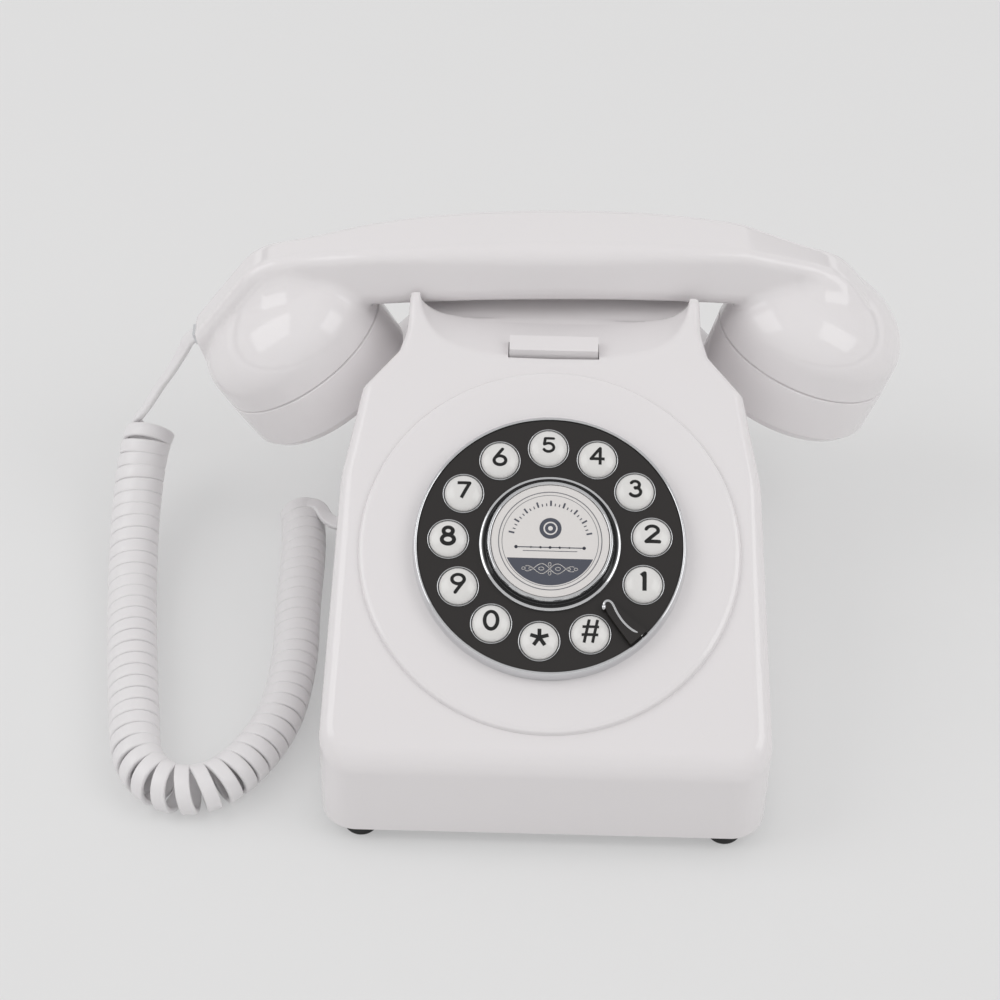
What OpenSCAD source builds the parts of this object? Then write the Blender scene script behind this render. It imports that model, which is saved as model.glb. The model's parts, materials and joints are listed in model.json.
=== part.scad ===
// Desk telephone with a sloping face, a ring of push buttons, a handset in a
// four-horned cradle and a curly cord. Millimetres. X runs along the handset,
// +Y points to the rear, +Z up. The origin is on the table, mid width and depth.

/* [Base] */
// Depth of the base, front wall to rear wall
body_depth = 192; // [182:1:202]
// Width of the base at its front corners
body_w = 140; // [132:1:148]
// Width of the base beside the dial
waist_w = 134; // [126:1:138]
// Width across the shoulders in front of the handset
shoulder_w = 122.4; // [116:0.2:126]
// Width of the neck that carries the cradle
neck_w = 95; // [91:0.5:99]
// Width of the rear of the base
rear_w = 126; // [118:1:130]
// Radius of the upright corners of the base
corner_r = 12; // [8:0.5:14]
// Height of the front wall's top edge above the table
crease_z = 39.2; // [36:0.2:44]
// Slope of the face
face_slope = 24; // [22:0.5:26]
// Thickness of the housing's walls
wall = 2.6; // [2:0.1:3.2]
// Height of the rubber feet
foot_h = 6; // [4:0.5:8]
// Radius of a rubber foot
foot_r = 5.5; // [4.5:0.5:6]
// Thickness of the base plate
plate_t = 2.5; // [2:0.1:3]
// Height of the side wings behind the shoulders
wing_z = 38; // [32:1:44]
// Rise of the wings up to the neck
wing_rise = 20; // [10:1:24]

/* [Cradle] */
// Distance up the face from the front edge to the saddle's lip
lip_u = 135.4; // [132:0.2:138]
// Distance up the face from the front edge to the front horns' tips
horn_u = 157.7; // [154:0.2:160]
// Depth of the handle channel below the saddle
channel_drop = 3.6; // [2.4:0.1:4.5]
// Space between the front horns and the handle
horn_gap = 2.9; // [2.6:0.1:4]
// Width of the saddle between the horns
saddle_w = 88; // [84:1:89]
// Height of the rear horns above the front horns
rear_horn_rise = 0.8; // [0:0.2:3]

/* [Dial] */
// Distance up the face from the front edge to the dial's centre
dial_u = 70.4; // [68:0.2:74]
// Radius of the raised round pad under the dial
pad_r = 59.8; // [56:0.2:62]
// Height of the raised round pad
pad_h = 1.75; // [1:0.25:2.5]
// Radius of the dark button plate
plate_r = 41.5; // [40:0.5:43]
// Height of the button plate's top above the face
plate_h = 5.8; // [5:0.1:7]
// Thickness of the button plate
plate_thick = 2; // [1.6:0.1:2.4]
// Width of the bright rim at its foot
rim_t = 1.7; // [1.2:0.1:2.4]
// Radius of the circle of buttons
button_circle_r = 31.9; // [31:0.1:32.5]
// Radius of a button
button_r = 5.9; // [5.7:0.1:6.2]
// Height of a button above the plate
button_rise = 2.4; // [1.8:0.1:3]
// Travel of a button
button_travel = 1.5; // [1:0.1:1.6]
// Angle of the first button, from the dial's right-hand side
button_angle = -23.4; // [-25:0.1:-20]
// Angle from one button to the next
button_step = 28.85; // [28.4:0.05:29]
// Radius of the label at the centre
label_r = 18.4; // [17.5:0.1:19]
// Radius of the bright ring round the label
ring_r = 22.2; // [21.6:0.1:22.8]
// Height of the label above the plate
label_rise = 3.4; // [2.6:0.1:4]
// Angle of the finger stop
stop_angle = -47; // [-49:0.5:-44]
// Radius at which the finger stop's tip lies
stop_tip_r = 25.4; // [24.5:0.1:27]

/* [Hook] */
// Width of the hook tab in the saddle
tab_w = 28.7; // [24:0.1:32]
// Depth of the hook tab, front to back
tab_d = 6.9; // [5:0.1:8]
// Height of the hook tab above the saddle
tab_h = 2.3; // [1.6:0.1:2.6]
// Width of the lifting finger under the handle
finger_w = 12; // [8:1:16]
// Radius of the hook's pivot pin
pin_r = 1.5; // [1.2:0.1:1.8]

/* [Handset] */
// Half the depth of the handle at its middle
handle_a = 15; // [13:0.5:16]
// Half the depth of the handle beside the bells
handle_a_end = 8.8; // [8.2:0.2:10]
// Half the height of the handle
handle_b = 11; // [9.6:0.2:11.6]
// Radius of the handle's long edges
handle_r = 8; // [6:0.5:8]
// Radius of the handle's arch, along its middle
arch_r = 480; // [440:10:560]
// Half the width of the handle's ends over the bells
end_w = 7.6; // [6.8:0.2:8.2]
// Slope of the handle's end over the mouthpiece
mouth_slope = 10; // [8:1:14]
// Slope of the handle's end over the earpiece
ear_slope = 20; // [16:1:22]
// Slope of the cord outlet's back
outlet_slope = 53; // [48:1:56]
// Distance of each bell's centre from the middle
bell_x = 84.4; // [83:0.2:86]
// Drop of the caps' joint below the middle of the handle
bell_drop = 35.6; // [34:0.2:37]
// Radius of the bells and caps
bell_r = 30.6; // [29.6:0.2:31.2]
// Height of the straight band of a bell above its cap
bell_band = 8; // [6:0.5:9]
// Height of a bell's dome above its straight band
dome_h = 20.3; // [18:0.1:22]
// Inward tilt of the mouthpiece
mouth_tilt = 33; // [30:0.5:35]
// Inward tilt of the earpiece
ear_tilt = 20; // [18:0.5:24]
// Height of a cap, down to its bevel
cap_h = 16; // [14:0.5:17]
// Height of a cap's bevel
bevel_h = 2.2; // [1.5:0.1:3]
// Thickness of the handset's walls
shell_t = 2.2; // [1.8:0.1:2.6]
// Forward lean of the handset in its cradle
lean = 9.5; // [8:0.5:11]
// Turn of the handset in its cradle
twist = 2.2; // [0:0.2:2.4]

/* [Cord] */
// Diameter of the curls on the stretch that climbs to the handset
coil_d = 16.6; // [15.8:0.2:17]
// Diameter of the curls beside the base
coil_end_d = 15.2; // [14.6:0.2:15.8]
// Diameter of the round stand-in for the flat cord
cord_d = 2.6; // [2.2:0.1:2.8]
// Curls on the stretch that climbs to the handset
left_turns = 23; // [21:1:24]
// Curls round the bend
bend_turns = 17; // [14:1:17]
// Curls on the stretch beside the base
right_turns = 19; // [16:1:20]

/* [Fits] */
// Clearance of a fixed piece in its seat
fit = 0.15; // [0.1:0.05:0.25]
// Clearance between a moving piece and what it moves in
slack = 0.3; // [0.25:0.05:0.4]
// Radial clearance of the hook on its pin
pin_fit = 0.08; // [0.03:0.01:0.1]

/* [Hidden] */

$fn = 48;
tiny = 0.01;
white = "whitesmoke";
face_white = "ghostwhite";
chrome = "silver";
dark = "#2e2c2b";

// ---- shared places ----
front_y = -body_depth / 2;
rear_y = body_depth / 2;
house_z = foot_h;
plate_top_z = house_z + plate_t;
saddle_z = face_z(lip_u);
horn_y = face_y(horn_u);
horn_z = face_z(horn_u);
channel_z = saddle_z - channel_drop;
handset_y = horn_y + horn_gap + handle_a;
rear_horn_z = horn_z + rear_horn_rise;
neck_half = neck_w / 2;
shoulder_y = face_y(126.3);
neck_y = shoulder_y + (shoulder_w - neck_w) / 2 * 0.9;

// Height of the handle's middle: its ends rest on the channel beside the neck.
bar_x = bell_x - 7.4;
rest_gap = 0.65;
rest_x = neck_half - 1.5;
handle_bottom = (handle_side(rest_x) - handle_r) * sin(lean) + (handle_b - handle_r) * cos(lean) + handle_r;
handset_z = channel_z + rest_gap + handle_bottom + arch_drop(rest_x);

// Points on the face: u runs up the slope from the front edge, h stands off it.
function face_y(u, h = 0) = front_y + u * cos(face_slope) - h * sin(face_slope);
function face_z(u, h = 0) = crease_z + u * sin(face_slope) + h * cos(face_slope);
module on_face(u, h = 0) translate([0, face_y(u, h), face_z(u, h)]) rotate([face_slope, 0, 0]) children();
module on_dial(h = 0) on_face(dial_u, h) children();

// ---- outline helpers ----
function arc(cx, cy, r, a0, a1, n) =
    [for (k = [0:n]) let (a = a0 + (a1 - a0) * k / n) [cx + r * cos(a), cy + r * sin(a)]];
function mirrored(half) = concat(half, [for (k = [len(half) - 1:-1:0]) [-half[k][0], half[k][1]]]);
module ring(r_out, r_in, h) difference() {
    cylinder(r = r_out, h = h);
    translate([0, 0, -1]) cylinder(r = r_in, h = h + 2);
}

// ---- housing ----
// Plan of the face and neck, drawn in by i.
function face_half(i) = concat(
    arc(body_w / 2 - corner_r, front_y + corner_r, corner_r - i, -90, 0, 6),
    [[waist_w / 2 - i, -8],
     [shoulder_w / 2 + 0.4 - i, shoulder_y - 3 - 0.45 * i],
     [shoulder_w / 2 - 1.6 - i, shoulder_y + 1 - 0.45 * i],
     [neck_half + 3 - i, neck_y - 2 - 0.45 * i],
     [neck_half + 0.4 - i, neck_y + 3 - 0.45 * i],
     [neck_half - 1.2 - i, rear_y - 8]],
    arc(neck_half - 7.2, rear_y - 6, 6 - i, 0, 90, 4));
// Plan of the base below the handset, drawn in by i.
function base_half(i) = concat(
    arc(body_w / 2 - corner_r, front_y + corner_r, corner_r - i, -90, 0, 6),
    [[waist_w / 2 - i, -8], [(waist_w + rear_w) / 4 + 1 - i, shoulder_y + 20]],
    arc(rear_w / 2 - corner_r, rear_y - corner_r, corner_r - i, 0, 90, 6));

// Side outline of the whole housing, drawn in by i.
crease_r = 4;
rear_slant = 9;
function side_outline(i) = concat(
    [[front_y + i, house_z - 1]],
    [for (p = arc(0, 0, crease_r, 180, 90 + face_slope, 4))
        [front_y + i + crease_r + p[0], crease_z - i / cos(face_slope) + i * tan(face_slope)
         - crease_r * tan(45 - face_slope / 2) + p[1]]],
    [[horn_y - i * 0.4, horn_z - i * (1 / cos(face_slope) + 0.4 * tan(face_slope))],
     [horn_y + 1.6, horn_z + 0.3 - i * 1.1],
     [rear_y - rear_slant - 2.4, rear_horn_z + 0.3 - i * 1.1],
     [rear_y - rear_slant - i, rear_horn_z - 0.8 - i],
     [rear_y - i, 40], [rear_y - i, house_z - 1]]);

// Cross outline of the base: low wings that rise to the neck.
function wing_outline(i) = mirrored([
    [body_w / 2 + 5, house_z - 1], [body_w / 2 + 5, wing_z - i - 5],
    [rear_w / 2, wing_z - i], [neck_half - i, wing_z + wing_rise - i]]);

module side_prism(i) translate([-body_w, 0, 0]) rotate([90, 0, 90])
    linear_extrude(2 * body_w) polygon(side_outline(i));

module envelope(i) intersection() {
    side_prism(i);
    union() {
        translate([0, 0, house_z - 2]) linear_extrude(150) polygon(mirrored(face_half(i)));
        intersection() {
            translate([0, 0, house_z - 2]) linear_extrude(80) polygon(mirrored(base_half(i)));
            translate([0, rear_y + 5, 0]) rotate([90, 0, 0])
                linear_extrude(body_depth / 2 + 12) polygon(wing_outline(i));
        }
    }
}

// Saddle between the horns, front to back, let out by g.
saddle_half = saddle_w / 2;
module saddle_cut(g) translate([0, rear_y + 20, 0]) rotate([90, 0, 0]) linear_extrude(body_depth)
    polygon([for (p = mirrored([[saddle_half * 0.6, 0], [saddle_half * 0.75, 1], [saddle_half * 0.865, 2.7],
        [saddle_half * 0.95, 5.2], [saddle_half, 9], [saddle_half + 0.8, 40]]))
        [p[0] + sign(p[0]) * g, saddle_z + p[1] - g]]);

// Channel for the handle, side to side, let out by g.
channel_y0 = horn_y + 0.6;
channel_y1 = handset_y + handle_a - 0.5;
module channel_cut(g) translate([-body_w, 0, 0]) rotate([90, 0, 90]) linear_extrude(2 * body_w)
    polygon([[channel_y0 + 0.6 - g, horn_z + 30], [channel_y0 + 0.8 - g, channel_z + 2 - g],
        [channel_y0 + 3 - g, channel_z - g], [channel_y1 - 3 + g, channel_z - g],
        [channel_y1 + g, channel_z + 2 - g], [channel_y1 + 1.4 + g, horn_z + 30]]);

// Posts that take the base plate's screws.
post_r = 3.6;
screw_r = 1.25;
post_places = [[body_w / 2 - 20, front_y + 20], [-body_w / 2 + 20, front_y + 20],
               [neck_half - 11, rear_y - 15], [-neck_half + 11, rear_y - 15]];
module posts() for (p = post_places)
    translate([p[0], p[1], plate_top_z]) cylinder(r = post_r, h = 100);

// Hook: its tab stands behind the saddle's lip, and its pin runs across behind the tab.
tab_y = face_y(lip_u) + 1.9;
pivot_y = tab_y + tab_d + 7.5;

pivot_z = channel_z - 3.2;
ear_x = tab_w / 2 + 2;
ear_t = 3;
module hook_ears() for (s = [-1, 1])
    translate([s * (ear_x + ear_t / 2) - ear_t / 2, pivot_y - 4, pivot_z - 4]) cube([ear_t, 8, 20]);

opening_r = plate_r - 2;
finger_y = handset_y + 5;
finger_d = 7;
jack_w = 12;
jack_h = 12.5;
jack_d = 13;
jack_y = 28;
jack_x = -(waist_w / 2 - 1.2);
line_x = 21;
line_y = rear_y;

module housing() color(face_white) {
    difference() {
        union() {
            envelope(0);
            on_dial() rotate_extrude($fn = 96) polygon([[0, -0.35], [pad_r + 1.2, -0.35],
                [pad_r, 0.35], [pad_r - 0.3, pad_h - 0.8], [pad_r - 1.3, pad_h], [0, pad_h]]);
        }
        translate([0, 0, house_z - 10]) translate([-200, -200, 0]) cube([400, 400, 10]);
        saddle_cut(0);
        channel_cut(0);
        difference() {
            envelope(wall);
            saddle_cut(wall);
            channel_cut(wall);
            posts();
            hook_ears();
        }
        for (p = post_places) translate([p[0], p[1], 0]) cylinder(r = screw_r + 0.05, h = plate_top_z + 16);
        on_dial(-20) cylinder(r = opening_r, h = 40);
        translate([-ear_x - ear_t - 1, pivot_y, pivot_z]) rotate([0, 90, 0])
            cylinder(r = pin_r + 0.02, h = 2 * (ear_x + ear_t + 1));
        translate([-tab_w / 2 - slack, tab_y - 1.1, pivot_z]) cube([tab_w + 2 * slack, tab_d + 1.8, 30]);
        translate([-finger_w / 2 - slack, finger_y - finger_d / 2 - 1, pivot_z - 5])
            cube([finger_w + 2 * slack, finger_d + 1.8, 30]);
        translate([jack_x - 12, jack_y - jack_w / 2 - fit, house_z - 1])
            cube([16, jack_w + 2 * fit, plate_top_z + jack_h + fit - house_z + 1]);
        translate([line_x - jack_w / 2 - fit, line_y - 6, house_z - 1])
            cube([jack_w + 2 * fit, 16, plate_top_z + jack_h + fit - house_z + 1]);
    }
}

// ---- base plate and feet ----
foot_places = [[body_w / 2 - 12.5, front_y + 9], [-body_w / 2 + 12.5, front_y + 9],
               [rear_w / 2 - 13, rear_y - 13], [-rear_w / 2 + 13, rear_y - 13]];
board_z = plate_top_z + 6;
board_w = 84;
board_d = 56;
board_y0 = front_y + 40;
board_posts = [for (sx = [-1, 1], sy = [0, 1]) [sx * (board_w / 2 - 5), board_y0 + 5 + sy * (board_d - 10)]];

module base_plate() color("gainsboro") difference() {
    union() {
        translate([0, 0, house_z]) linear_extrude(plate_t) polygon(mirrored(base_half(wall + fit)));
        for (p = board_posts) translate([p[0], p[1], plate_top_z - tiny]) cylinder(r = 3, h = 6 + tiny);
    }
    for (p = post_places) translate([p[0], p[1], 0]) {
        cylinder(r = screw_r + 0.35, h = 30);
        cylinder(r = 3.2, h = house_z + 1.3);
    }
    for (p = board_posts) translate([p[0], p[1], plate_top_z + 1]) cylinder(r = 1, h = 10);
    for (k = [0:5]) translate([-neck_half - 1, 22 + k * 4, house_z - 4]) cube([18, 1.6, 10]);
}

module rubber_feet() color("#1b1b1b") for (p = foot_places) translate([p[0], p[1], 0])
    rotate_extrude() polygon([[0, 0], [foot_r - 0.8, 0], [foot_r, 0.8], [foot_r, foot_h], [0, foot_h]]);

module base_screws() color(chrome) for (p = post_places) translate([p[0], p[1], house_z + 0.2]) {
    cylinder(r = 2.9, h = 1.1);
    cylinder(r = screw_r, h = plate_t + 12);
}

// ---- dial ----
plate_low = plate_h - plate_thick;
hole_r = button_r + 0.6;
hub_r = label_r - 0.6;
label_h = plate_h + label_rise;
board_low = -5.8;
board_t = 1.6;
dial_post_r = 2.2;
dial_post_circle = 20.4;
dial_posts = [for (k = [0:3]) 45 + 90 * k];
function button_place(k) = [button_circle_r * cos(button_angle + button_step * k),
                            button_circle_r * sin(button_angle + button_step * k), 0];

module dial_rim() color(chrome) on_dial() rotate_extrude($fn = 96)
    polygon([[plate_r + 0.1, pad_h], [plate_r + rim_t, pad_h], [plate_r + rim_t - 0.2, pad_h + 2.4],
             [plate_r + 0.95, plate_h + 0.5], [plate_r + 0.5, plate_h + 0.65],
             [plate_r + 0.1, plate_h + 0.4]]);

module dial_plate() color(dark) on_dial() difference() {
    union() {
        translate([0, 0, plate_low]) cylinder(r = plate_r, h = plate_thick, $fn = 96);
        translate([0, 0, pad_h]) ring(plate_r, opening_r + 0.2, plate_low - pad_h + tiny);
        translate([0, 0, plate_h - tiny]) cylinder(r = hub_r, h = label_rise - 0.8 + tiny);
        for (a = dial_posts) rotate(a) translate([dial_post_circle, 0, board_low + board_t])
            cylinder(r = dial_post_r, h = plate_low - board_low - board_t + tiny);
        for (k = [0.5, 4.5, 8.5]) rotate(button_angle + k * button_step - 4) rotate_extrude(angle = 8)
            polygon([[opening_r - 1.6, -wall - 1.6], [opening_r - 0.3, -wall - 1.6],
                     [opening_r + 0.7, -wall - 0.3], [opening_r - 0.3, -wall - 0.2],
                     [opening_r - 0.3, plate_low + tiny], [opening_r - 1.6, plate_low + tiny]]);
    }
    for (k = [0:11]) translate(button_place(k)) translate([0, 0, -1]) cylinder(r = hole_r, h = 20);
    for (a = dial_posts) rotate(a) translate([dial_post_circle, 0, board_low]) cylinder(r = 0.9, h = 8);
}

module dial_screws() color(chrome) on_dial() for (a = dial_posts) rotate(a)
    translate([dial_post_circle, 0, board_low - 1.2]) {
        cylinder(r = 1.9, h = 1.2);
        cylinder(r = 0.85, h = 7);
    }

module centre_ring() color(chrome) on_dial() rotate_extrude($fn = 96)
    polygon([[label_r + 0.1, plate_h], [ring_r, plate_h], [ring_r, plate_h + 0.7],
             [ring_r - 0.5, plate_h + 1.2], [ring_r - 1.6, plate_h + 1.5],
             [label_r + 1.5, plate_h + 2.3], [label_r + 0.9, label_h + 0.3],
             [label_r + 0.4, label_h + 0.4], [label_r + 0.1, label_h + 0.15]]);

module centre_label() color("ivory") on_dial() translate([0, 0, label_h - 0.8])
    cylinder(r = label_r, h = 0.8, $fn = 96);

// Blade of the finger stop: a narrow tip and a broad root at the rim.
module finger_stop() color(dark) on_dial() rotate(stop_angle) {
    translate([0, 0, plate_h + 0.6]) linear_extrude(1.4) polygon([
        [stop_tip_r, 0.2], [stop_tip_r + 0.6, -1.3], [stop_tip_r + 4, -2.2], [plate_r - 6, -3],
        [plate_r - 0.3, -3.6], [plate_r - 0.3, 3.2],
        [plate_r - 7, 2.2], [stop_tip_r + 6, 1.8], [stop_tip_r + 1, 1.6]]);
    translate([0, 0, plate_h]) linear_extrude(0.6 + tiny) polygon([
        [plate_r - 5, -2.6], [plate_r - 0.3, -3.2], [plate_r - 0.3, 2.8], [plate_r - 5, 2]]);
}

bezel_in = button_r + slack;
module button_bezels() color(chrome) on_dial() for (k = [0:11]) translate(button_place(k))
    rotate_extrude() polygon([[bezel_in, plate_low], [hole_r - 0.02, plate_low], [hole_r - 0.02, plate_h],
        [hole_r + 0.1, plate_h], [hole_r + 0.08, plate_h + 0.3], [hole_r - 0.08, plate_h + 0.5],
        [bezel_in, plate_h + 0.45]]);

flange_top = plate_low - slack;
stem_low = board_low + board_t + 1 + button_travel;
module button(k) on_dial() translate(button_place(k)) rotate_extrude() polygon([
    [0, stem_low], [3.4, stem_low], [3.4, flange_top - 1.1], [button_r + 0.9, flange_top - 1.1],
    [button_r + 0.9, flange_top], [button_r, flange_top], [button_r, plate_h + button_rise * 0.3],
    [button_r - 0.3, plate_h + button_rise * 0.55], [button_r - 1.3, plate_h + button_rise * 0.82],
    [button_r - 3.2, plate_h + button_rise * 0.97], [0, plate_h + button_rise]]);
module button_1() color(white) button(0);
module button_2() color(white) button(1);
module button_3() color(white) button(2);
module button_4() color(white) button(3);
module button_5() color(white) button(4);
module button_6() color(white) button(5);
module button_7() color(white) button(6);
module button_8() color(white) button(7);
module button_9() color(white) button(8);
module button_0() color(white) button(9);
module button_star() color(white) button(10);
module button_hash() color(white) button(11);

module dial_disc(low, thick, r) on_dial(low) difference() {
    cylinder(r = r, h = thick);
    for (a = dial_posts) rotate(a) translate([dial_post_circle, 0, -1])
        cylinder(r = low < board_low + 0.1 ? 1 : dial_post_r + 0.2, h = 10);
}
module keypad_mat() color("lightslategray") {
    dial_disc(board_low + board_t, 0.6, opening_r - 3);
    on_dial(board_low + board_t + 0.6 - tiny) for (k = [0:11]) translate(button_place(k))
        cylinder(r = 3.4, h = 0.2);
}
module keypad_board() color("darkgreen") dial_disc(board_low, board_t, opening_r - 2.4);

// ---- inside the base ----
module main_board() color("darkgreen") difference() {
    translate([-board_w / 2, board_y0, board_z]) cube([board_w, board_d, 1.6]);
    for (p = board_posts) translate([p[0], p[1], 0]) cylinder(r = 1.1, h = 40);
}
module board_parts() color("#222222") translate([0, board_y0, board_z + 1.6]) {
    translate([-26, 16, 0]) cube([14, 14, 1.6]);
    translate([2, 20, 0]) cube([8, 18, 2.4]);
    for (k = [0:2]) translate([22 + 6 * k - 6, 40, 0]) cylinder(r = 2.4, h = 7);
    translate([-20, 42, 0]) cube([16, 6, 5]);
}
weight_y = board_y0 + board_d + 8;
weight_w = 62;
weight_d = 44;
weight_h = 7;
module base_weight() color("dimgray") translate([-weight_w / 3, weight_y, plate_top_z])
    cube([weight_w, weight_d, weight_h]);
sounder_r = 11;
module sounder() color("#333333") translate([jack_x + jack_d + sounder_r + 2, jack_y + 6, plate_top_z])
    difference() {
        cylinder(r = sounder_r, h = 6);
        translate([0, 0, 5]) cylinder(r = 2, h = 3);
    }

// ---- hook ----
arm_z = pivot_z - 4.6;
finger_top = handset_z - (handle_a - handle_r) * sin(lean) - (handle_b - handle_r) * cos(lean)
    - handle_r - rest_gap;
module hook_lever() color(face_white) difference() {
    union() {
        translate([-tab_w / 2, tab_y, arm_z]) cube([tab_w, tab_d, saddle_z + tab_h - arm_z]);
        translate([-tab_w / 2, tab_y, arm_z]) cube([tab_w, pivot_y - tab_y + 3, 3]);
        translate([-tab_w / 2 + slack, pivot_y, pivot_z]) rotate([0, 90, 0])
            cylinder(r = pin_r + 1.4, h = tab_w - 2 * slack);
        translate([-tab_w / 2 + 4, pivot_y - 2.6, arm_z]) cube([tab_w - 8, 5.2, pivot_z - arm_z]);
        translate([-finger_w / 2, pivot_y, arm_z]) cube([finger_w, finger_y + finger_d / 2 - pivot_y, 3]);
        translate([-finger_w / 2, finger_y - finger_d / 2, arm_z])
            cube([finger_w, finger_d, finger_top - arm_z]);
    }
    translate([-tab_w, pivot_y, pivot_z]) rotate([0, 90, 0]) cylinder(r = pin_r + pin_fit, h = 2 * tab_w);
}
module hook_pin() color(chrome) translate([-ear_x - ear_t, pivot_y, pivot_z]) rotate([0, 90, 0])
    cylinder(r = pin_r, h = 2 * (ear_x + ear_t));
// Leaf spring under the tab's arm, held on the switch's bracket.
spring_t = 0.5;
switch_z = arm_z - 8.6;
module hook_spring() color(chrome) translate([-4, 0, 0]) rotate([90, 0, 90]) linear_extrude(8) polygon([
    [finger_y - 13, switch_z + 6.4], [finger_y - 2, arm_z - 0.9], [finger_y + 2, arm_z - 0.9],
    [finger_y + 2, arm_z - 0.9 + spring_t], [finger_y - 2.2, arm_z - 0.9 + spring_t],
    [finger_y - 13.2, switch_z + 6.4 + spring_t]]);
module hook_switch() color("#26262a") {
    translate([-8, finger_y - 14, switch_z]) cube([16, 11, 6.4]);
    translate([-12.5, finger_y - 15, switch_z - 3]) cube([25, 13, 3 + tiny]);
    for (s = [-1, 1]) translate([s * 11 - 1.5, finger_y - 15, switch_z - 3])
        cube([3, 3, channel_z - wall - switch_z + 3]);
}

// ---- jacks ----
socket = 6.6;
socket_depth = 9;
// A block whose mouth looks along +X, with a socket of width w and height h in it.
module jack_block(size, z0, w, h) difference() {
    translate([-size[0], -size[1] / 2, 0]) cube(size);
    translate([-socket_depth, -w / 2, z0]) cube([socket_depth + 1, w, h]);
}
plug_out = 3.6;
module plug_body(w, h, out = plug_out) translate([-socket_depth + 0.5, -w / 2 + fit, fit])
    cube([socket_depth - 0.5 + out, w - 2 * fit, h - 2 * fit]);
module at_base_jack() translate([jack_x, jack_y, plate_top_z]) mirror([1, 0, 0]) children();
module base_jack() color("#d8d8d8") at_base_jack() jack_block([jack_d, jack_w, jack_h], 3, socket, socket);
module base_plug() color("lightgray") at_base_jack() translate([0, 0, 3]) plug_body(socket, socket);
module line_jack() color("#d8d8d8") translate([line_x, line_y - 0.4, plate_top_z]) rotate(90)
    jack_block([jack_d, jack_w, jack_h], 3, socket, socket);

// ---- handset ----
// Own frame: origin at the middle of the handle, X along it, Z up.
module in_handset() translate([0, handset_y, handset_z]) rotate([-lean, 0, twist]) children();

function arch_drop(x) = arch_r - sqrt(arch_r * arch_r - x * x);
function handle_side(x) = handle_a - (handle_a - handle_a_end) * pow(x / bar_x, 2);

// Rounded bar along the arch, drawn in by i and narrowed to the handle's plan.
bar_angle = asin(bar_x / arch_r);
function bar_section(i) = let (a = handle_a - i, b = handle_b - i, c = handle_r - i) concat(
    arc(arch_r + b - c, a - c, c, 0, 90, 4), arc(arch_r - b + c, a - c, c, 90, 180, 4),
    arc(arch_r - b + c, c - a, c, 180, 270, 4), arc(arch_r + b - c, c - a, c, 270, 360, 4));
module handle_bar(i) intersection() {
    translate([0, 0, -arch_r]) rotate([90, 0, 0]) rotate(90 - bar_angle)
        rotate_extrude(angle = 2 * bar_angle, $fn = 180) polygon(bar_section(i));
    translate([0, 0, -60]) linear_extrude(90) polygon(concat(
        [for (k = [-6:6]) let (x = (bar_x + 1) * k / 6) [x, i - handle_side(x)]],
        [for (k = [6:-1:-6]) let (x = (bar_x + 1) * k / 6) [x, handle_side(x) - i]]));
}

// The handle's ends run on over the bells: a straight, a bend and a straight.
function bend_pts(at, a0, a1, r) =
    [for (k = [0:6]) let (a = a0 + (a1 - a0) * k / 6)
        [at[0] + r * (sin(a) - sin(a0)), at[1] - r * (cos(a0) - cos(a))]];
function onward(at, slope, len) = [at[0] + len * cos(slope), at[1] - len * sin(slope)];
end_x = bar_x - 9;
end_from = [end_x, handle_b - arch_drop(end_x) - 0.05];
mouth_run = 23.5;
mouth_bend = bend_pts(onward(end_from, mouth_slope, mouth_run), mouth_slope, outlet_slope, 20);
outlet_at = onward(mouth_bend[6], outlet_slope, 26.8);
ear_bend = bend_pts(onward(end_from, ear_slope, 22.5), ear_slope, 52, 25);

// Outlet of the cord: its mouth looks out and down from the handle's far end.
outlet_down = 21;
outlet_h = 6.6;
function outlet_point(d) = [outlet_at[0] - d * sin(outlet_down), outlet_at[1] - d * cos(outlet_down)];
outlet_xz = outlet_point(outlet_h / 2);
module at_outlet() translate([-outlet_xz[0], 0, outlet_xz[1]]) rotate([0, 180 - outlet_down, 0]) children();
module handle_end(side, pts) mirror([side < 0 ? 1 : 0, 0, 0]) translate([0, end_w, 0]) rotate([90, 0, 0])
    linear_extrude(2 * end_w)
        polygon(concat([[end_x, -6], end_from], pts, [[bell_x + 8, -38], [bell_x - 3, -13]]));
module handle_ends() {
    handle_end(-1, concat(mouth_bend, [outlet_at, outlet_point(outlet_h + 3)]));
    handle_end(1, ear_bend);
}

// A bell's frame: origin at the middle of the cap's joint, Z up out of the cap.
module bell_frame(side) translate([side * bell_x, 0, -bell_drop])
    rotate([0, side * (side < 0 ? mouth_tilt : ear_tilt), 0]) children();
module at_bell(side) in_handset() bell_frame(side) children();
module bell_solid(i) rotate_extrude($fn = 72) polygon(concat(
    [[0, i > 0 ? -1 : 0], [bell_r - i, i > 0 ? -1 : 0]],
    [for (k = [0:8]) [(bell_r - i) * cos(k * 11.25), bell_band + (dome_h - i) * sin(k * 11.25)]]));

// Parting between the shell and the inner cover, seen from the front.
part_z = shell_t + 0.4 - handle_b;
part_r = 14.5;
function part_side(tilt) = [
    [bell_x - 32.4, part_z], [bell_x - 28.4, part_z - 0.8], [bell_x - 21.4, part_z - 6],
    [bell_x - 18.4, part_z - 12],
    [bell_x - part_r * cos(tilt), -bell_drop + part_r * sin(tilt)],
    [bell_x - part_r * cos(tilt) - 40 * sin(tilt), -bell_drop + part_r * sin(tilt) - 40 * cos(tilt)]];
module below_parting() translate([0, 40, 0]) rotate([90, 0, 0]) linear_extrude(80)
    polygon(concat(part_side(ear_tilt),
        [for (k = [5:-1:0]) let (p = part_side(mouth_tilt)[k]) [-p[0], p[1]]]));

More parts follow.
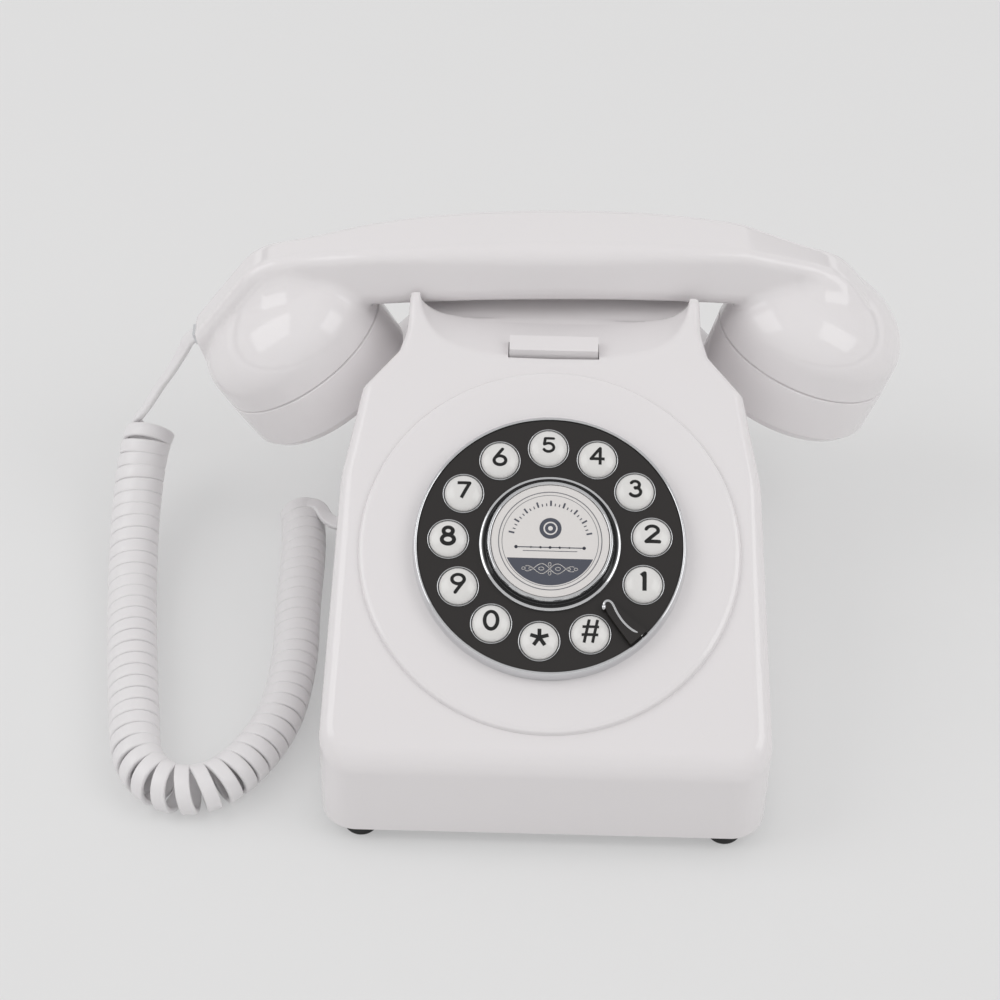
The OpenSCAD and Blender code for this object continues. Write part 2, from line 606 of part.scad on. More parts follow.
outlet_jack = [12, 11, 6];
module jack_pocket() in_outlet() translate([-outlet_jack[0] - fit, -outlet_jack[1] / 2 - fit, -fit])
    cube([outlet_jack[0] + 5, outlet_jack[1] + 2 * fit, outlet_jack[2] + 2 * fit]);
module in_outlet() at_outlet() translate([0, 0, -outlet_jack[2] / 2]) children();

cover_screws = [-40, 40];
module shell_raw() difference() {
    union() {
        handle_bar(0);
        handle_ends();
        for (s = [-1, 1]) bell_frame(s) bell_solid(0);
    }
    difference() {
        union() {
            handle_bar(shell_t);
            for (s = [-1, 1]) bell_frame(s) bell_solid(shell_t);
        }
        for (x = cover_screws) translate([x, 0, -20]) cylinder(r = 3, h = 40);
        in_outlet() translate([-outlet_jack[0] - 2, -outlet_jack[1] / 2 - 2, -2])
            cube([outlet_jack[0] + 2, outlet_jack[1] + 4, outlet_jack[2] + 4]);
    }
    for (x = cover_screws) translate([x, 0, -20]) {
        cylinder(r = 1, h = 20);
        cylinder(r = 2.1, h = 20 - handle_b - arch_drop(abs(x)) + 1.2);
    }
}
module handset_shell() color(face_white) in_handset() difference() {
    shell_raw();
    below_parting();
    jack_pocket();
}
module handset_cover() color(face_white) in_handset() intersection() {
    shell_raw();
    below_parting();
}
module handset_weight() color("dimgray") in_handset()
    translate([-28, -8, shell_t - handle_b + 0.2]) cube([56, 16, 6]);
module handset_screws() color(chrome) in_handset() for (x = cover_screws)
    translate([x, 0, 0.3 - handle_b - arch_drop(abs(x))]) {
        cylinder(r = 1.8, h = 0.85);
        cylinder(r = 0.95, h = 7);
    }

// Caps: a cup with a bevelled face and sound holes.
cap_face_z = -cap_h - bevel_h;
spigot_r = bell_r - shell_t - fit;
module cap(holes) difference() {
    union() {
        rotate_extrude($fn = 72) polygon([[0, cap_face_z + 1], [10, cap_face_z + 0.3],
            [bell_r - 3.4, cap_face_z], [bell_r - 2, cap_face_z + 0.5], [bell_r - 0.5, -cap_h],
            [bell_r, -0.4], [bell_r - 0.3, 0], [0, 0]]);
        translate([0, 0, -tiny]) cylinder(r = spigot_r, h = 2.5, $fn = 72);
    }
    translate([0, 0, cap_face_z + 2.6]) cylinder(r = spigot_r - 1.6, h = 40, $fn = 72);
    for (h = holes) rotate(h[1]) translate([h[0], 0, cap_face_z - 1]) cylinder(r = 1, h = 5, $fn = 16);
}
mouth_holes = concat([[0, 0]], [for (k = [0:5]) [5, 60 * k]]);
ear_holes = concat(mouth_holes, [for (k = [0:9]) [10, 36 * k]]);
module mouthpiece_cap() color(face_white) at_bell(-1) cap(mouth_holes);
module earpiece_cap() color(face_white) at_bell(1) cap(ear_holes);
module microphone() color("#333333") at_bell(-1) translate([0, 0, cap_face_z + 2.6]) {
    cylinder(r = 9, h = 2);
    cylinder(r = 5, h = 6);
}
module receiver() color("#444444") at_bell(1) translate([0, 0, cap_face_z + 2.6]) {
    cylinder(r = 17, h = 5);
    cylinder(r = 11, h = 9);
}

outlet_w = 7;
outlet_slot = 4.2;
outlet_plug_out = 1.6;
module handset_jack() color(face_white) in_handset() in_outlet()
    jack_block(outlet_jack, (outlet_jack[2] - outlet_slot) / 2, outlet_w, outlet_slot);
module handset_plug() color("lightgray") in_handset() in_outlet()
    translate([0, 0, (outlet_jack[2] - outlet_slot) / 2]) plug_body(outlet_w, outlet_slot, outlet_plug_out);

// ---- cord ----
// Route of the coil's middle, chosen by hand: it climbs at one end, rounds a bend
// in front and runs back beside the base.
coil_z = coil_d / 2 + 0.3;
coil_end_z = coil_end_d / 2 + 0.3;
coil_route = [[-137.2, 57, 31.2], [-139.1, 51.5, 28.6], [-140.7, 43, 22.6], [-141.3, 26, 14.8],
    [-139.8, 0, coil_z + 0.6], [-136.4, -30, coil_z], [-133.4, -52, coil_z], [-130, -71, coil_z],
    [-122.6, -81.2, coil_z], [-111.8, -84, coil_z], [-101.2, -78.8, coil_end_z + 0.3],
    [-91.6, -66, coil_end_z], [-85.4, -50, coil_end_z], [-83, -28, coil_end_z], [-83.4, -5, coil_end_z],
    [-83.4, 18, coil_end_z], [-84, 29, coil_end_z], [-85, 37.5, coil_end_z]];
bend_first = 6;
bend_last = 12;

function spline(p, k, t) = let (n = len(p) - 1, a = p[max(k - 1, 0)], b = p[k], c = p[min(k + 1, n)],
    d = p[min(k + 2, n)]) 0.5 * (2 * b + (c - a) * t + (2 * a - 5 * b + 4 * c - d) * t * t
    + (3 * b - a - 3 * c + d) * t * t * t);
function smooth(p, per) = concat([for (k = [0:len(p) - 2], j = [0:per - 1]) spline(p, k, j / per)],
    [p[len(p) - 1]]);
function lengths(p, k = 0, sum = 0, out = []) = k == len(p) ? out :
    let (s = k == 0 ? 0 : sum + norm(p[k] - p[k - 1])) lengths(p, k + 1, s, concat(out, [s]));
function unit(v) = v / norm(v);

per = 8;
axis_pts = smooth(coil_route, per);
axis_s = lengths(axis_pts);
axis_tab = [for (a = [0:2]) [for (k = [0:len(axis_pts) - 1]) [axis_s[k], axis_pts[k][a]]]];
function axis_at(s) = [for (a = [0:2]) lookup(s, axis_tab[a])];
axis_len = axis_s[len(axis_s) - 1];
// Curls counted along the route: loose at the top, even, fanned at the bend, even.
loose_turns = 4;
turn_first = 60;
turn_last = 18;
all_turns = left_turns + bend_turns + right_turns + (turn_last - turn_first) / 360;
bend_share = [0.23, 0.376, 0.484, 0.602, 0.79];
turn_tab = concat([[0, 0], [1, 5.4], [2, 9.8], [3, 14.8], [loose_turns, 19.8],
    [left_turns, axis_s[bend_first * per]]],
    [for (k = [0:4]) [left_turns + bend_turns * bend_share[k], axis_s[(bend_first + 1 + k) * per]]],
    [[left_turns + bend_turns, axis_s[bend_last * per]], [all_turns, axis_len]]);
coil_r_tab = [[left_turns, (coil_d - cord_d) / 2], [left_turns + bend_turns, (coil_end_d - cord_d) / 2]];
tuck_turns = 0.35;
function coil_point(t) = let (
    s = lookup(t, turn_tab), e = unit(axis_at(min(s + 2, axis_len)) - axis_at(max(s - 2, 0))),
    up = unit([0, 0, 1] - e[2] * e), side = cross(e, up), a = turn_first + 360 * t,
    r = lookup(t, coil_r_tab) - 1.2 * pow(max(0, 1 - t / tuck_turns), 2))
    axis_at(s) + r * (cos(a) * up + sin(a) * side);
rings = round(all_turns * 8);
curl = [for (k = [0:rings]) coil_point(all_turns * k / rings)];
curl_in = unit(curl[1] - curl[0]);
curl_out = unit(curl[rings] - curl[rings - 1]);
curl_path = concat([curl[0] - cord_d * curl_in], curl, [curl[rings] + 0.9 * curl_out]);

// Tube of round section along a path; each ring is turned to follow the last.
function turned(p, k) = k == 0 ? unit(p[1] - p[0]) : k == len(p) - 1 ? unit(p[k] - p[k - 1])
    : unit(unit(p[k] - p[k - 1]) + unit(p[k + 1] - p[k]));
function frames(p, n, k = 0, out = []) = k == len(p) ? out :
    let (e = turned(p, k), u = unit(n - (n * e) * e)) frames(p, u, k + 1, concat(out, [[u, cross(e, u)]]));
module tube(p, sides, start) {
    f = frames(p, start);
    m = len(p) - 1;
    polyhedron(
        [for (k = [0:m], j = [0:sides - 1]) p[k]
            + cord_d / 2 * (cos(360 * j / sides) * f[k][0] + sin(360 * j / sides) * f[k][1])],
        concat([for (j = [1:sides - 2]) [0, j, j + 1]],
            [for (j = [1:sides - 2]) [m * sides, m * sides + j + 1, m * sides + j]],
            [for (k = [0:m - 1], j = [0:sides - 1]) let (a = k * sides + j, b = k * sides + (j + 1) % sides)
                [a, b + sides, b]],
            [for (k = [0:m - 1], j = [0:sides - 1]) let (a = k * sides + j, b = k * sides + (j + 1) % sides)
                [a, a + sides, b + sides]]));
}
module curly_cord() color(white) tube(curl_path, 6, [1, 0, 0]);

// Least distance between the tube's own curls, from ring to neighbouring stretch.
function off_line(q, a, b) = let (t = (q - a) * (b - a) / ((b - a) * (b - a)))
    norm(q - a - min(1, max(0, t)) * (b - a));
self_gap = min([for (k = [0:rings - 4], j = [k + 5:min(k + 24, rings + 1)])
    off_line(curl_path[k], curl_path[j], curl_path[j + 1])]) - cord_d;
echo(cord_self_gap = self_gap, cord_lowest = min([for (p = curl_path) p[2]]) - cord_d / 2);

// Free leads, from the plugs to the coil's ends, with a hair's breadth where they meet.
join_gap = 0.25;
function tilted(v) = [v[0], v[1] * cos(lean) + v[2] * sin(lean), v[2] * cos(lean) - v[1] * sin(lean)];
function turned_z(v) = [v[0] * cos(twist) - v[1] * sin(twist), v[0] * sin(twist) + v[1] * cos(twist), v[2]];
outlet_mid = [-outlet_xz[0], 0, outlet_xz[1]];
outlet_dir = turned_z(tilted([-cos(outlet_down), 0, -sin(outlet_down)]));
lead_gap = 0.9;
outlet_end = [0, handset_y, handset_z] + turned_z(tilted(outlet_mid))
    + (outlet_plug_out + lead_gap) * outlet_dir;
handset_route = concat([outlet_end, [-122.2, 56.4, 72.3]],
    [[-124.9, 56.6, 66.3], [-129.2, 57, 57.5], [-134.2, 57.5, 48.4]],
    [curl[0] - 7 * curl_in, curl_path[0] - join_gap * curl_in]);
module handset_lead() color(white) tube(smooth(handset_route, 3), 8, [0, 1, 0]);

base_end = [jack_x - plug_out - join_gap, jack_y, plate_top_z + 3 + socket / 2];
curl_end = curl_path[rings + 2];
base_route = concat([curl_end + join_gap * curl_out, curl_end + (join_gap + cord_d) * curl_out],
    [[-76.4, 36.6, 14.3], [-75.6, 32, 14.3]], [base_end - [cord_d * 1.1, 0, 0], base_end]);
module base_lead() color(white) tube(smooth(base_route, 3), 8, [0, 0, 1]);

housing();
base_plate();
rubber_feet();
base_screws();
dial_rim();
dial_plate();
dial_screws();
centre_ring();
centre_label();
finger_stop();
button_bezels();
button_1();
button_2();
button_3();
button_4();
button_5();
button_6();
button_7();
button_8();
button_9();
button_0();
button_star();
button_hash();
keypad_mat();
keypad_board();
main_board();
board_parts();
base_weight();
sounder();
hook_lever();
hook_pin();
hook_spring();
hook_switch();
base_jack();
line_jack();
handset_shell();
handset_cover();
handset_weight();
handset_screws();
mouthpiece_cap();
earpiece_cap();
microphone();
receiver();
handset_jack();
handset_plug();
handset_lead();
curly_cord();
base_lead();
base_plug();
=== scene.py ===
"""Looks of a white desk telephone with a ring of push buttons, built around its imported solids.

Lengths are in millimetres in the frame of the solids, and turn into metres when a mesh is made.
Smooth housings are distance fields, meshed by dual contouring. Turned pieces are lathes.
"""

import json
import math

import bpy
import numpy as np
from mathutils import Matrix, Vector


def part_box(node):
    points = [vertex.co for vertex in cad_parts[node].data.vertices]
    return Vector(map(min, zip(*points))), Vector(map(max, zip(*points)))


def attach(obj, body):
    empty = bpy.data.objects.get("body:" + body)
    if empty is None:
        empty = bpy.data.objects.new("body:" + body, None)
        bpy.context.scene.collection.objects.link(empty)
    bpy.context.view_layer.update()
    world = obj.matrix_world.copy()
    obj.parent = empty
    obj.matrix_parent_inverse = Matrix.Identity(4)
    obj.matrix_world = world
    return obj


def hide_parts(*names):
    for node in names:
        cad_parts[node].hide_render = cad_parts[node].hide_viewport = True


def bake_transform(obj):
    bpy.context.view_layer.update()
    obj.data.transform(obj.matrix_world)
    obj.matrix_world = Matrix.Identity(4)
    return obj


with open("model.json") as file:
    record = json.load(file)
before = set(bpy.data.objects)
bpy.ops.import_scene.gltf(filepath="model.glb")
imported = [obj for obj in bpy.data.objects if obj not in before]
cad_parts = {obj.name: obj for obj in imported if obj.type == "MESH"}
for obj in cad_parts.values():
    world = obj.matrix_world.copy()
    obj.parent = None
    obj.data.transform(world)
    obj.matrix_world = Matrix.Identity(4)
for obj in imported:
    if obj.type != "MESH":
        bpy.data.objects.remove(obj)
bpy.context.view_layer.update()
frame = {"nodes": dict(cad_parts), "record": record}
MM = 0.001

# ---------------------------------------------------------------- sizes, as in the solids
FRONT_Y, REAR_Y = -96.0, 96.0
HOUSE_Z = 6.0
CREASE_Z = 39.2
SLOPE = math.radians(24)
COS, SIN = math.cos(SLOPE), math.sin(SLOPE)
WALL = 2.6
LIP_U, HORN_U, DIAL_U = 135.4, 157.7, 70.4
NECK_HALF = 47.5
PLATE_R, PLATE_H = 41.5, 5.8
PAD_R, PAD_H = 59.8, 1.75
BUTTON_R, BUTTON_CIRCLE, BUTTON_RISE = 5.9, 31.9, 2.4
BUTTON_ANGLE, BUTTON_STEP = -23.4, 28.85
LABEL_R, RING_R, LABEL_RISE = 18.4, 22.2, 3.4
HANDLE_A, HANDLE_A_END, HANDLE_B, ARCH_R, BAR_X = 15.0, 8.8, 11.0, 480.0, 77.0
BELL_X, BELL_DROP, BELL_R, BELL_BAND, DOME_H = 84.4, 35.6, 30.6, 8.0, 20.3
TILT = {-1: 33.0, 1: 20.0}
CAP_H, BEVEL_H = 16.0, 2.2
LEAN, TWIST = 9.5, 2.2


def face_point(u, h=0.0):
    """The point u up the face from the front edge and h above it, on the middle line."""
    return np.array([0.0, FRONT_Y + u * COS - h * SIN, CREASE_Z + u * SIN + h * COS])


SADDLE_Z = face_point(LIP_U)[2]
HORN_Y, HORN_Z = face_point(HORN_U)[1:]
CHANNEL_Z = SADDLE_Z - 3.6
PIVOT_Z = CHANNEL_Z - 3.2
TAB_W, TAB_D, TAB_Y = 28.7, 6.9, face_point(LIP_U)[1] + 1.9
FINGER_W, FINGER_D = 12.0, 7.0
HANDSET_Y = HORN_Y + 2.9 + HANDLE_A
FINGER_Y = HANDSET_Y + 5
REST_GAP = 0.65
DIAL_LEDGE = 2.0
HOOK_GAP, TAB_AHEAD, TAB_BEHIND, FINGER_AHEAD, FINGER_BEHIND = 0.3, 1.1, 0.7, 1.0, 0.8
SOCKET_HALF, SOCKET_TOP, BASE_JACK_Y, LINE_JACK_X = 6.15, 21.15, 28.0, 21.0
ABOVE_ALL = 120


def arch_drop(x):
    """How far the handle's arch has dropped at x from its middle."""
    return ARCH_R - np.sqrt(ARCH_R**2 - x * x)


def handset_height():
    """Height of the handle's middle, whose underside is just clear of the channel."""
    lean, round_r, rest_x = math.radians(LEAN), 8.0, NECK_HALF - 1.5
    depth = HANDLE_A - (HANDLE_A - HANDLE_A_END) * (rest_x / BAR_X) ** 2
    under = (depth - round_r) * math.sin(lean) + (HANDLE_B - round_r) * math.cos(lean) + round_r
    return CHANNEL_Z + REST_GAP + under + arch_drop(rest_x)


def rotation(axis, degrees):
    return np.array(Matrix.Rotation(math.radians(degrees), 3, axis))


def place(origin, turn=None):
    """A frame: 4x4 matrix from its origin and its 3x3 rotation."""
    m = np.eye(4)
    m[:3, 3] = origin
    if turn is not None:
        m[:3, :3] = turn
    return m


def moved(points, m):
    return np.asarray(points, float) @ m[:3, :3].T + m[:3, 3]


ON_DIAL = place(face_point(DIAL_U), rotation("X", math.degrees(SLOPE)))
IN_HANDSET = place([0, HANDSET_Y, handset_height()], rotation("Z", TWIST) @ rotation("X", -LEAN))


def bell_frame(side):
    return IN_HANDSET @ place([side * BELL_X, 0, -BELL_DROP], rotation("Y", side * TILT[side]))


# ---------------------------------------------------------------- camera
EYE = np.array([-10.5, -628.0, 707.6])
SENSOR, LENS = 36, 100.1
LOOK_DOWN, LOOK_YAW, LOOK_ROLL = math.radians(46), math.radians(-0.52), math.radians(1.07)


def make_camera():
    ahead = Vector((math.sin(LOOK_YAW) * math.cos(LOOK_DOWN), math.cos(LOOK_YAW) * math.cos(LOOK_DOWN),
                    -math.sin(LOOK_DOWN)))
    right = Vector((math.cos(LOOK_YAW), -math.sin(LOOK_YAW), 0))
    up = right.cross(ahead)
    c, s = math.cos(LOOK_ROLL), math.sin(LOOK_ROLL)
    right, up = c * right + s * up, c * up - s * right
    data = bpy.data.cameras.new("camera")
    data.sensor_width, data.lens = SENSOR, LENS
    data.clip_start, data.clip_end = 0.05, 20
    camera = bpy.data.objects.new("camera", data)
    bpy.context.scene.collection.objects.link(camera)
    turn = Matrix((right, up, -ahead)).transposed().to_4x4()
    camera.matrix_world = Matrix.Translation(EYE * MM) @ turn
    bpy.context.scene.camera = camera


make_camera()


# ---------------------------------------------------------------- materials
def linear(hex_colour):
    """Linear RGBA of a written colour."""
    srgb = [int(hex_colour[k:k + 2], 16) / 255 for k in (0, 2, 4)]
    return [v / 12.92 if v <= 0.04045 else ((v + 0.055) / 1.055) ** 2.4 for v in srgb] + [1]


def material(name, colour, rough, metallic=0.0, coat=0.0, mottle=0.03, grain=0.0, grain_size=1200,
             rough_swing=0.04):
    """A surface with its own faint mottling, uneven gloss and, where it has one, a fine grain."""
    m = bpy.data.materials.new(name)
    m.use_nodes = True
    nodes, links = m.node_tree.nodes, m.node_tree.links
    shader = nodes["Principled BSDF"]
    shader.inputs["Metallic"].default_value = metallic
    shader.inputs["IOR"].default_value = 1.46
    shader.inputs["Coat Weight"].default_value = coat
    shader.inputs["Coat Roughness"].default_value = 0.04
    where = nodes.new("ShaderNodeTexCoord")

    def noise(scale, detail=3):
        n = nodes.new("ShaderNodeTexNoise")
        n.inputs["Scale"].default_value = scale
        n.inputs["Detail"].default_value = detail
        links.new(where.outputs["Object"], n.inputs["Vector"])
        return n

    base = linear(colour)
    mix = nodes.new("ShaderNodeMix")
    mix.data_type = "RGBA"
    mix.inputs["A"].default_value = base
    mix.inputs["B"].default_value = [v * (1 - mottle) for v in base[:3]] + [1]
    links.new(noise(18).outputs["Fac"], mix.inputs["Factor"])
    links.new(mix.outputs["Result"], shader.inputs["Base Color"])
    swing = nodes.new("ShaderNodeMapRange")
    swing.inputs["To Min"].default_value = max(rough - rough_swing / 2, 0.01)
    swing.inputs["To Max"].default_value = rough + rough_swing / 2
    links.new(noise(60, 2).outputs["Fac"], swing.inputs["Value"])
    links.new(swing.outputs["Result"], shader.inputs["Roughness"])
    if grain:
        bump = nodes.new("ShaderNodeBump")
        bump.inputs["Strength"].default_value = grain
        bump.inputs["Distance"].default_value = 0.0002
        links.new(noise(grain_size, 2).outputs["Fac"], bump.inputs["Height"])
        links.new(bump.outputs["Normal"], shader.inputs["Normal"])
    return m


WHITE = material("white_plastic", "E9E6E7", 0.08, mottle=0.02, rough_swing=0.02)
CORD = material("cord_plastic", "E9E7E8", 0.36, mottle=0.03, grain=0.05)
KEY = material("key_plastic", "E2E1DF", 0.06, mottle=0.03, rough_swing=0.02)
DARK = material("dark_plate", "272423", 0.3, mottle=0.12, grain=0.03)
CHROME = material("chrome", "D9DADC", 0.05, metallic=1.0, mottle=0.02, rough_swing=0.02)
# Black gloss for the centre ring's groove band: a painted reflection of a dark room, in place of what the
# chrome would mirror.
PAINTED_REFLECTION_BLACK = material("painted_reflection_black", "0C0C0D", 0.06, mottle=0.1, rough_swing=0.02)
STEEL = material("screw_steel", "B4B5B8", 0.28, metallic=1.0, mottle=0.08, grain=0.1, grain_size=700)
RUBBER = material("foot_rubber", "1B1B1B", 0.62, mottle=0.25, grain=0.25)
CREAM = material("label_card", "E0DDDB", 0.3, mottle=0.03, grain=0.03)
SLATE = material("label_slate", "4C4F5A", 0.4, mottle=0.05, grain=0.03)
RULE = material("label_grey", "77777C", 0.4, mottle=0.05)
INK = material("key_ink", "121212", 0.3, mottle=0.1)
GREY = material("base_grey", "C9C8CA", 0.5, mottle=0.04, grain=0.15)
MAT = material("mat_rubber", "5B6066", 0.6, mottle=0.1)
BOARD = material("board_green", "1F5B33", 0.35, mottle=0.2)
# Black of the inner parts; also used for the caps' hole discs, painted shade for the dark inside of each
# hole.
BLACK_PART_AND_HOLE_SHADE = material("part_black", "1D1D1F", 0.45, mottle=0.1, grain=0.1)
IRON = material("weight_iron", "57575A", 0.6, mottle=0.3, grain=0.3)
JACK = material("jack_plastic", "D8D8D8", 0.35, mottle=0.04)
PLUG = material("plug_plastic", "D6D8DA", 0.15, mottle=0.03, coat=0.3)

# Nodes of the solids that no piece below replaces are seen in these.
SLOT_MATERIAL = {
    "case_white": WHITE, "base_grey": GREY, "foot_rubber": RUBBER, "screw_steel": STEEL,
    "bright_trim": CHROME, "dial_black": DARK, "label_cream": CREAM, "button_white": KEY,
    "mat_grey": MAT, "board_green": BOARD, "part_black": BLACK_PART_AND_HOLE_SHADE, "weight_iron": IRON,
    "jack_grey": JACK, "plug_clear": PLUG, "cord_white": CORD}
for sub in frame["record"]["subparts"]:
    node = frame["nodes"][sub["node"]]
    node.data.materials.clear()
    node.data.materials.append(SLOT_MATERIAL[sub["material_slot"]])


# ---------------------------------------------------------------- mesh helpers
def add_piece(name, verts, faces, surface, body, replaces=(), sharp=None):
    """A mesh from points in millimetres, riding on a body and standing for the nodes it replaces."""
    mesh = bpy.data.meshes.new(name)
    mesh.from_pydata((np.asarray(verts, float) * MM).tolist(), [], [[int(i) for i in f] for f in faces])
    mesh.materials.append(surface)
    mesh.shade_smooth()
    if sharp:
        mesh.set_sharp_from_angle(angle=math.radians(sharp))
    piece = bpy.data.objects.new(name, mesh)
    bpy.context.scene.collection.objects.link(piece)
    if body:
        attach(piece, body)
    if replaces:
        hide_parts(*replaces)
    return piece


def rounded(points, radius, steps=5):
    """A line of points with each corner turned into an arc; radius is a number or one per corner."""
    points = [np.asarray(p, float) for p in points]
    radii = [radius] * (len(points) - 2) if np.isscalar(radius) else list(radius)
    out = [points[0]]
    for before, corner, after, r in zip(points, points[1:], points[2:], radii):
        a, b = before - corner, after - corner
        la, lb = np.linalg.norm(a), np.linalg.norm(b)
        a, b = a / la, b / lb
        half = math.acos(max(-1.0, min(1.0, float(a @ b)))) / 2
        sweep = math.pi - 2 * half
        if r <= 0 or half > math.pi / 2 - 0.01:
            out.append(corner)
            continue
        run = min(r / math.tan(half), 0.48 * la, 0.48 * lb)
        r = run * math.tan(half)
        middle = corner + (a + b) / np.linalg.norm(a + b) * math.hypot(run, r)
        start, end = corner + a * run - middle, corner + b * run - middle
        for k in range(steps + 1):
            mix = k / steps
            ray = start * math.sin((1 - mix) * sweep) + end * math.sin(mix * sweep)
            out.append(middle + ray * r / np.linalg.norm(ray))
    return np.array(out + [points[-1]])


def lathe(profile, segments=96, closed=False):
    """Points and faces of a profile of (radius, height), turned about Z. It runs anticlockwise."""
    angles = np.arange(segments) * 2 * math.pi / segments
    verts, rows = [], []
    for r, z in profile:
        if r < 1e-6:
            rows.append([len(verts)] * segments)
            verts.append([0, 0, z])
        else:
            rows.append(list(range(len(verts), len(verts) + segments)))
            verts += [[r * math.cos(a), r * math.sin(a), z] for a in angles]
    faces = []
    for low, high in zip(rows, rows[1:] + rows[:1] if closed else rows[1:]):
        for k in range(segments):
            j = (k + 1) % segments
            loop = list(dict.fromkeys([low[k], low[j], high[j], high[k]]))
            if len(loop) > 2:
                faces.append(loop)
    return np.array(verts), faces


def gathered(parts):
    """Points and faces of several meshes as one."""
    verts, faces, count = [], [], 0
    for v, f in parts:
        verts.append(v)
        faces += [[i + count for i in face] for face in f]
        count += len(v)
    return np.vstack(verts), faces


# ---------------------------------------------------------------- ends of the handset
def onward(at, slope, run):
    """The point at the end of a run downhill, in degrees below level."""
    a = math.radians(slope)
    return [at[0] + run * math.cos(a), at[1] - run * math.sin(a)]


def bend(at, slope_0, slope_1, r, steps=10):
    """Points round a bend from one slope to a steeper one."""
    a0 = math.radians(slope_0)
    angles = [math.radians(slope_0 + (slope_1 - slope_0) * k / steps) for k in range(steps + 1)]
    return [[at[0] + r * (math.sin(a) - math.sin(a0)), at[1] - r * (math.cos(a0) - math.cos(a))]
            for a in angles]


END_X = BAR_X - 9
END_FROM = [END_X, HANDLE_B - arch_drop(END_X) - 0.05]
MOUTH_SLOPE, MOUTH_END_SLOPE, EAR_SLOPE, EAR_END_SLOPE = 10, 53, 20, 52
MOUTH_BEND = bend(onward(END_FROM, MOUTH_SLOPE, 23.5), MOUTH_SLOPE, MOUTH_END_SLOPE, 20)
EAR_BEND = bend(onward(END_FROM, EAR_SLOPE, 22.5), EAR_SLOPE, EAR_END_SLOPE, 25)
OUTLET_TOP = onward(MOUTH_BEND[-1], MOUTH_END_SLOPE, 26.8)
OUTLET_DOWN = math.radians(21)
OUTLET_H = 6.6
OUTLET_MID = [-OUTLET_TOP[0] + OUTLET_H / 2 * math.sin(OUTLET_DOWN), 0,
              OUTLET_TOP[1] - OUTLET_H / 2 * math.cos(OUTLET_DOWN)]

# ---------------------------------------------------------------- cord
LEFT_D, RIGHT_D = 16.6, 15.2
LEFT_Z, RIGHT_Z = LEFT_D / 2 + 0.3, RIGHT_D / 2 + 0.3
COIL_ROUTE = [
    (-137.2, 57, 31.2), (-139.1, 51.5, 28.6), (-140.7, 43, 22.6), (-141.3, 26, 14.8),
    (-139.8, 0, LEFT_Z + 0.6), (-136.4, -30, LEFT_Z), (-133.4, -52, LEFT_Z), (-130, -71, LEFT_Z),
    (-122.6, -81.2, LEFT_Z),
    (-111.8, -84, LEFT_Z), (-101.2, -78.8, RIGHT_Z + 0.3), (-91.6, -66, RIGHT_Z), (-85.4, -50, RIGHT_Z),
    (-83, -28, RIGHT_Z), (-83.4, -5, RIGHT_Z), (-83.4, 18, RIGHT_Z), (-84, 29, RIGHT_Z), (-85, 37.5, RIGHT_Z)]
CORD_W, CORD_T = 4.8, 2.0
LEFT_TURNS, BEND_TURNS, RIGHT_TURNS = 23, 17, 19
# Run along the route after each of the loose turns at its start.
LOOSE_RUN = [0, 5.4, 9.8, 14.8, 19.8]
# Share of the bend's turns at each of its route points, which are counted from 0.
BEND_FIRST, BEND_LAST = 6, 12
BEND_SHARE = (0.23, 0.376, 0.484, 0.602, 0.79, 1)
# Angle in degrees at which the curls start and end, and how the first of them is drawn in.
TURN_FIRST, TURN_LAST = 60, 18
TUCK, TUCK_TURNS = 1.2, 0.35
# Where turns lie closer than the cord is wide, it leans: degrees per millimetre, and at most.
LAP_RATE, LAP_MOST = 22, 34
LEAD_ROUTE = [(-122.2, 56.4, 72.3), (-124.9, 56.6, 66.3), (-129.2, 57, 57.5), (-134.2, 57.5, 48.4)]
LEAD_END_RUN = 7
TAIL_ROUTE = [(-79, 36.2, 14.3), (-75.9, 31, 14.2)]
TAIL_END_RUN = 3.4
OUTLET_PLUG_OUT, IN_PLUG = 1.6, 0.4
BASE_PLUG_END = np.array([-69.4, 28.0, 14.8])


def spline(points, per):
    """Smooth line through points, with per steps from each to the next."""
    p, out = np.array(points, float), []
    for k in range(len(p) - 1):
        a, b, c, d = p[max(k - 1, 0)], p[k], p[k + 1], p[min(k + 2, len(p) - 1)]
        for t in np.arange(per) / per:
            out.append(0.5 * (2 * b + (c - a) * t + (2 * a - 5 * b + 4 * c - d) * t**2
                              + (3 * b - a - 3 * c + d) * t**3))
    return np.array(out + [p[-1]])


def unit(v):
    return v / np.linalg.norm(v, axis=-1, keepdims=True)


def run_lengths(line):
    return np.concatenate([[0], np.cumsum(np.linalg.norm(np.diff(line, axis=0), axis=1))])


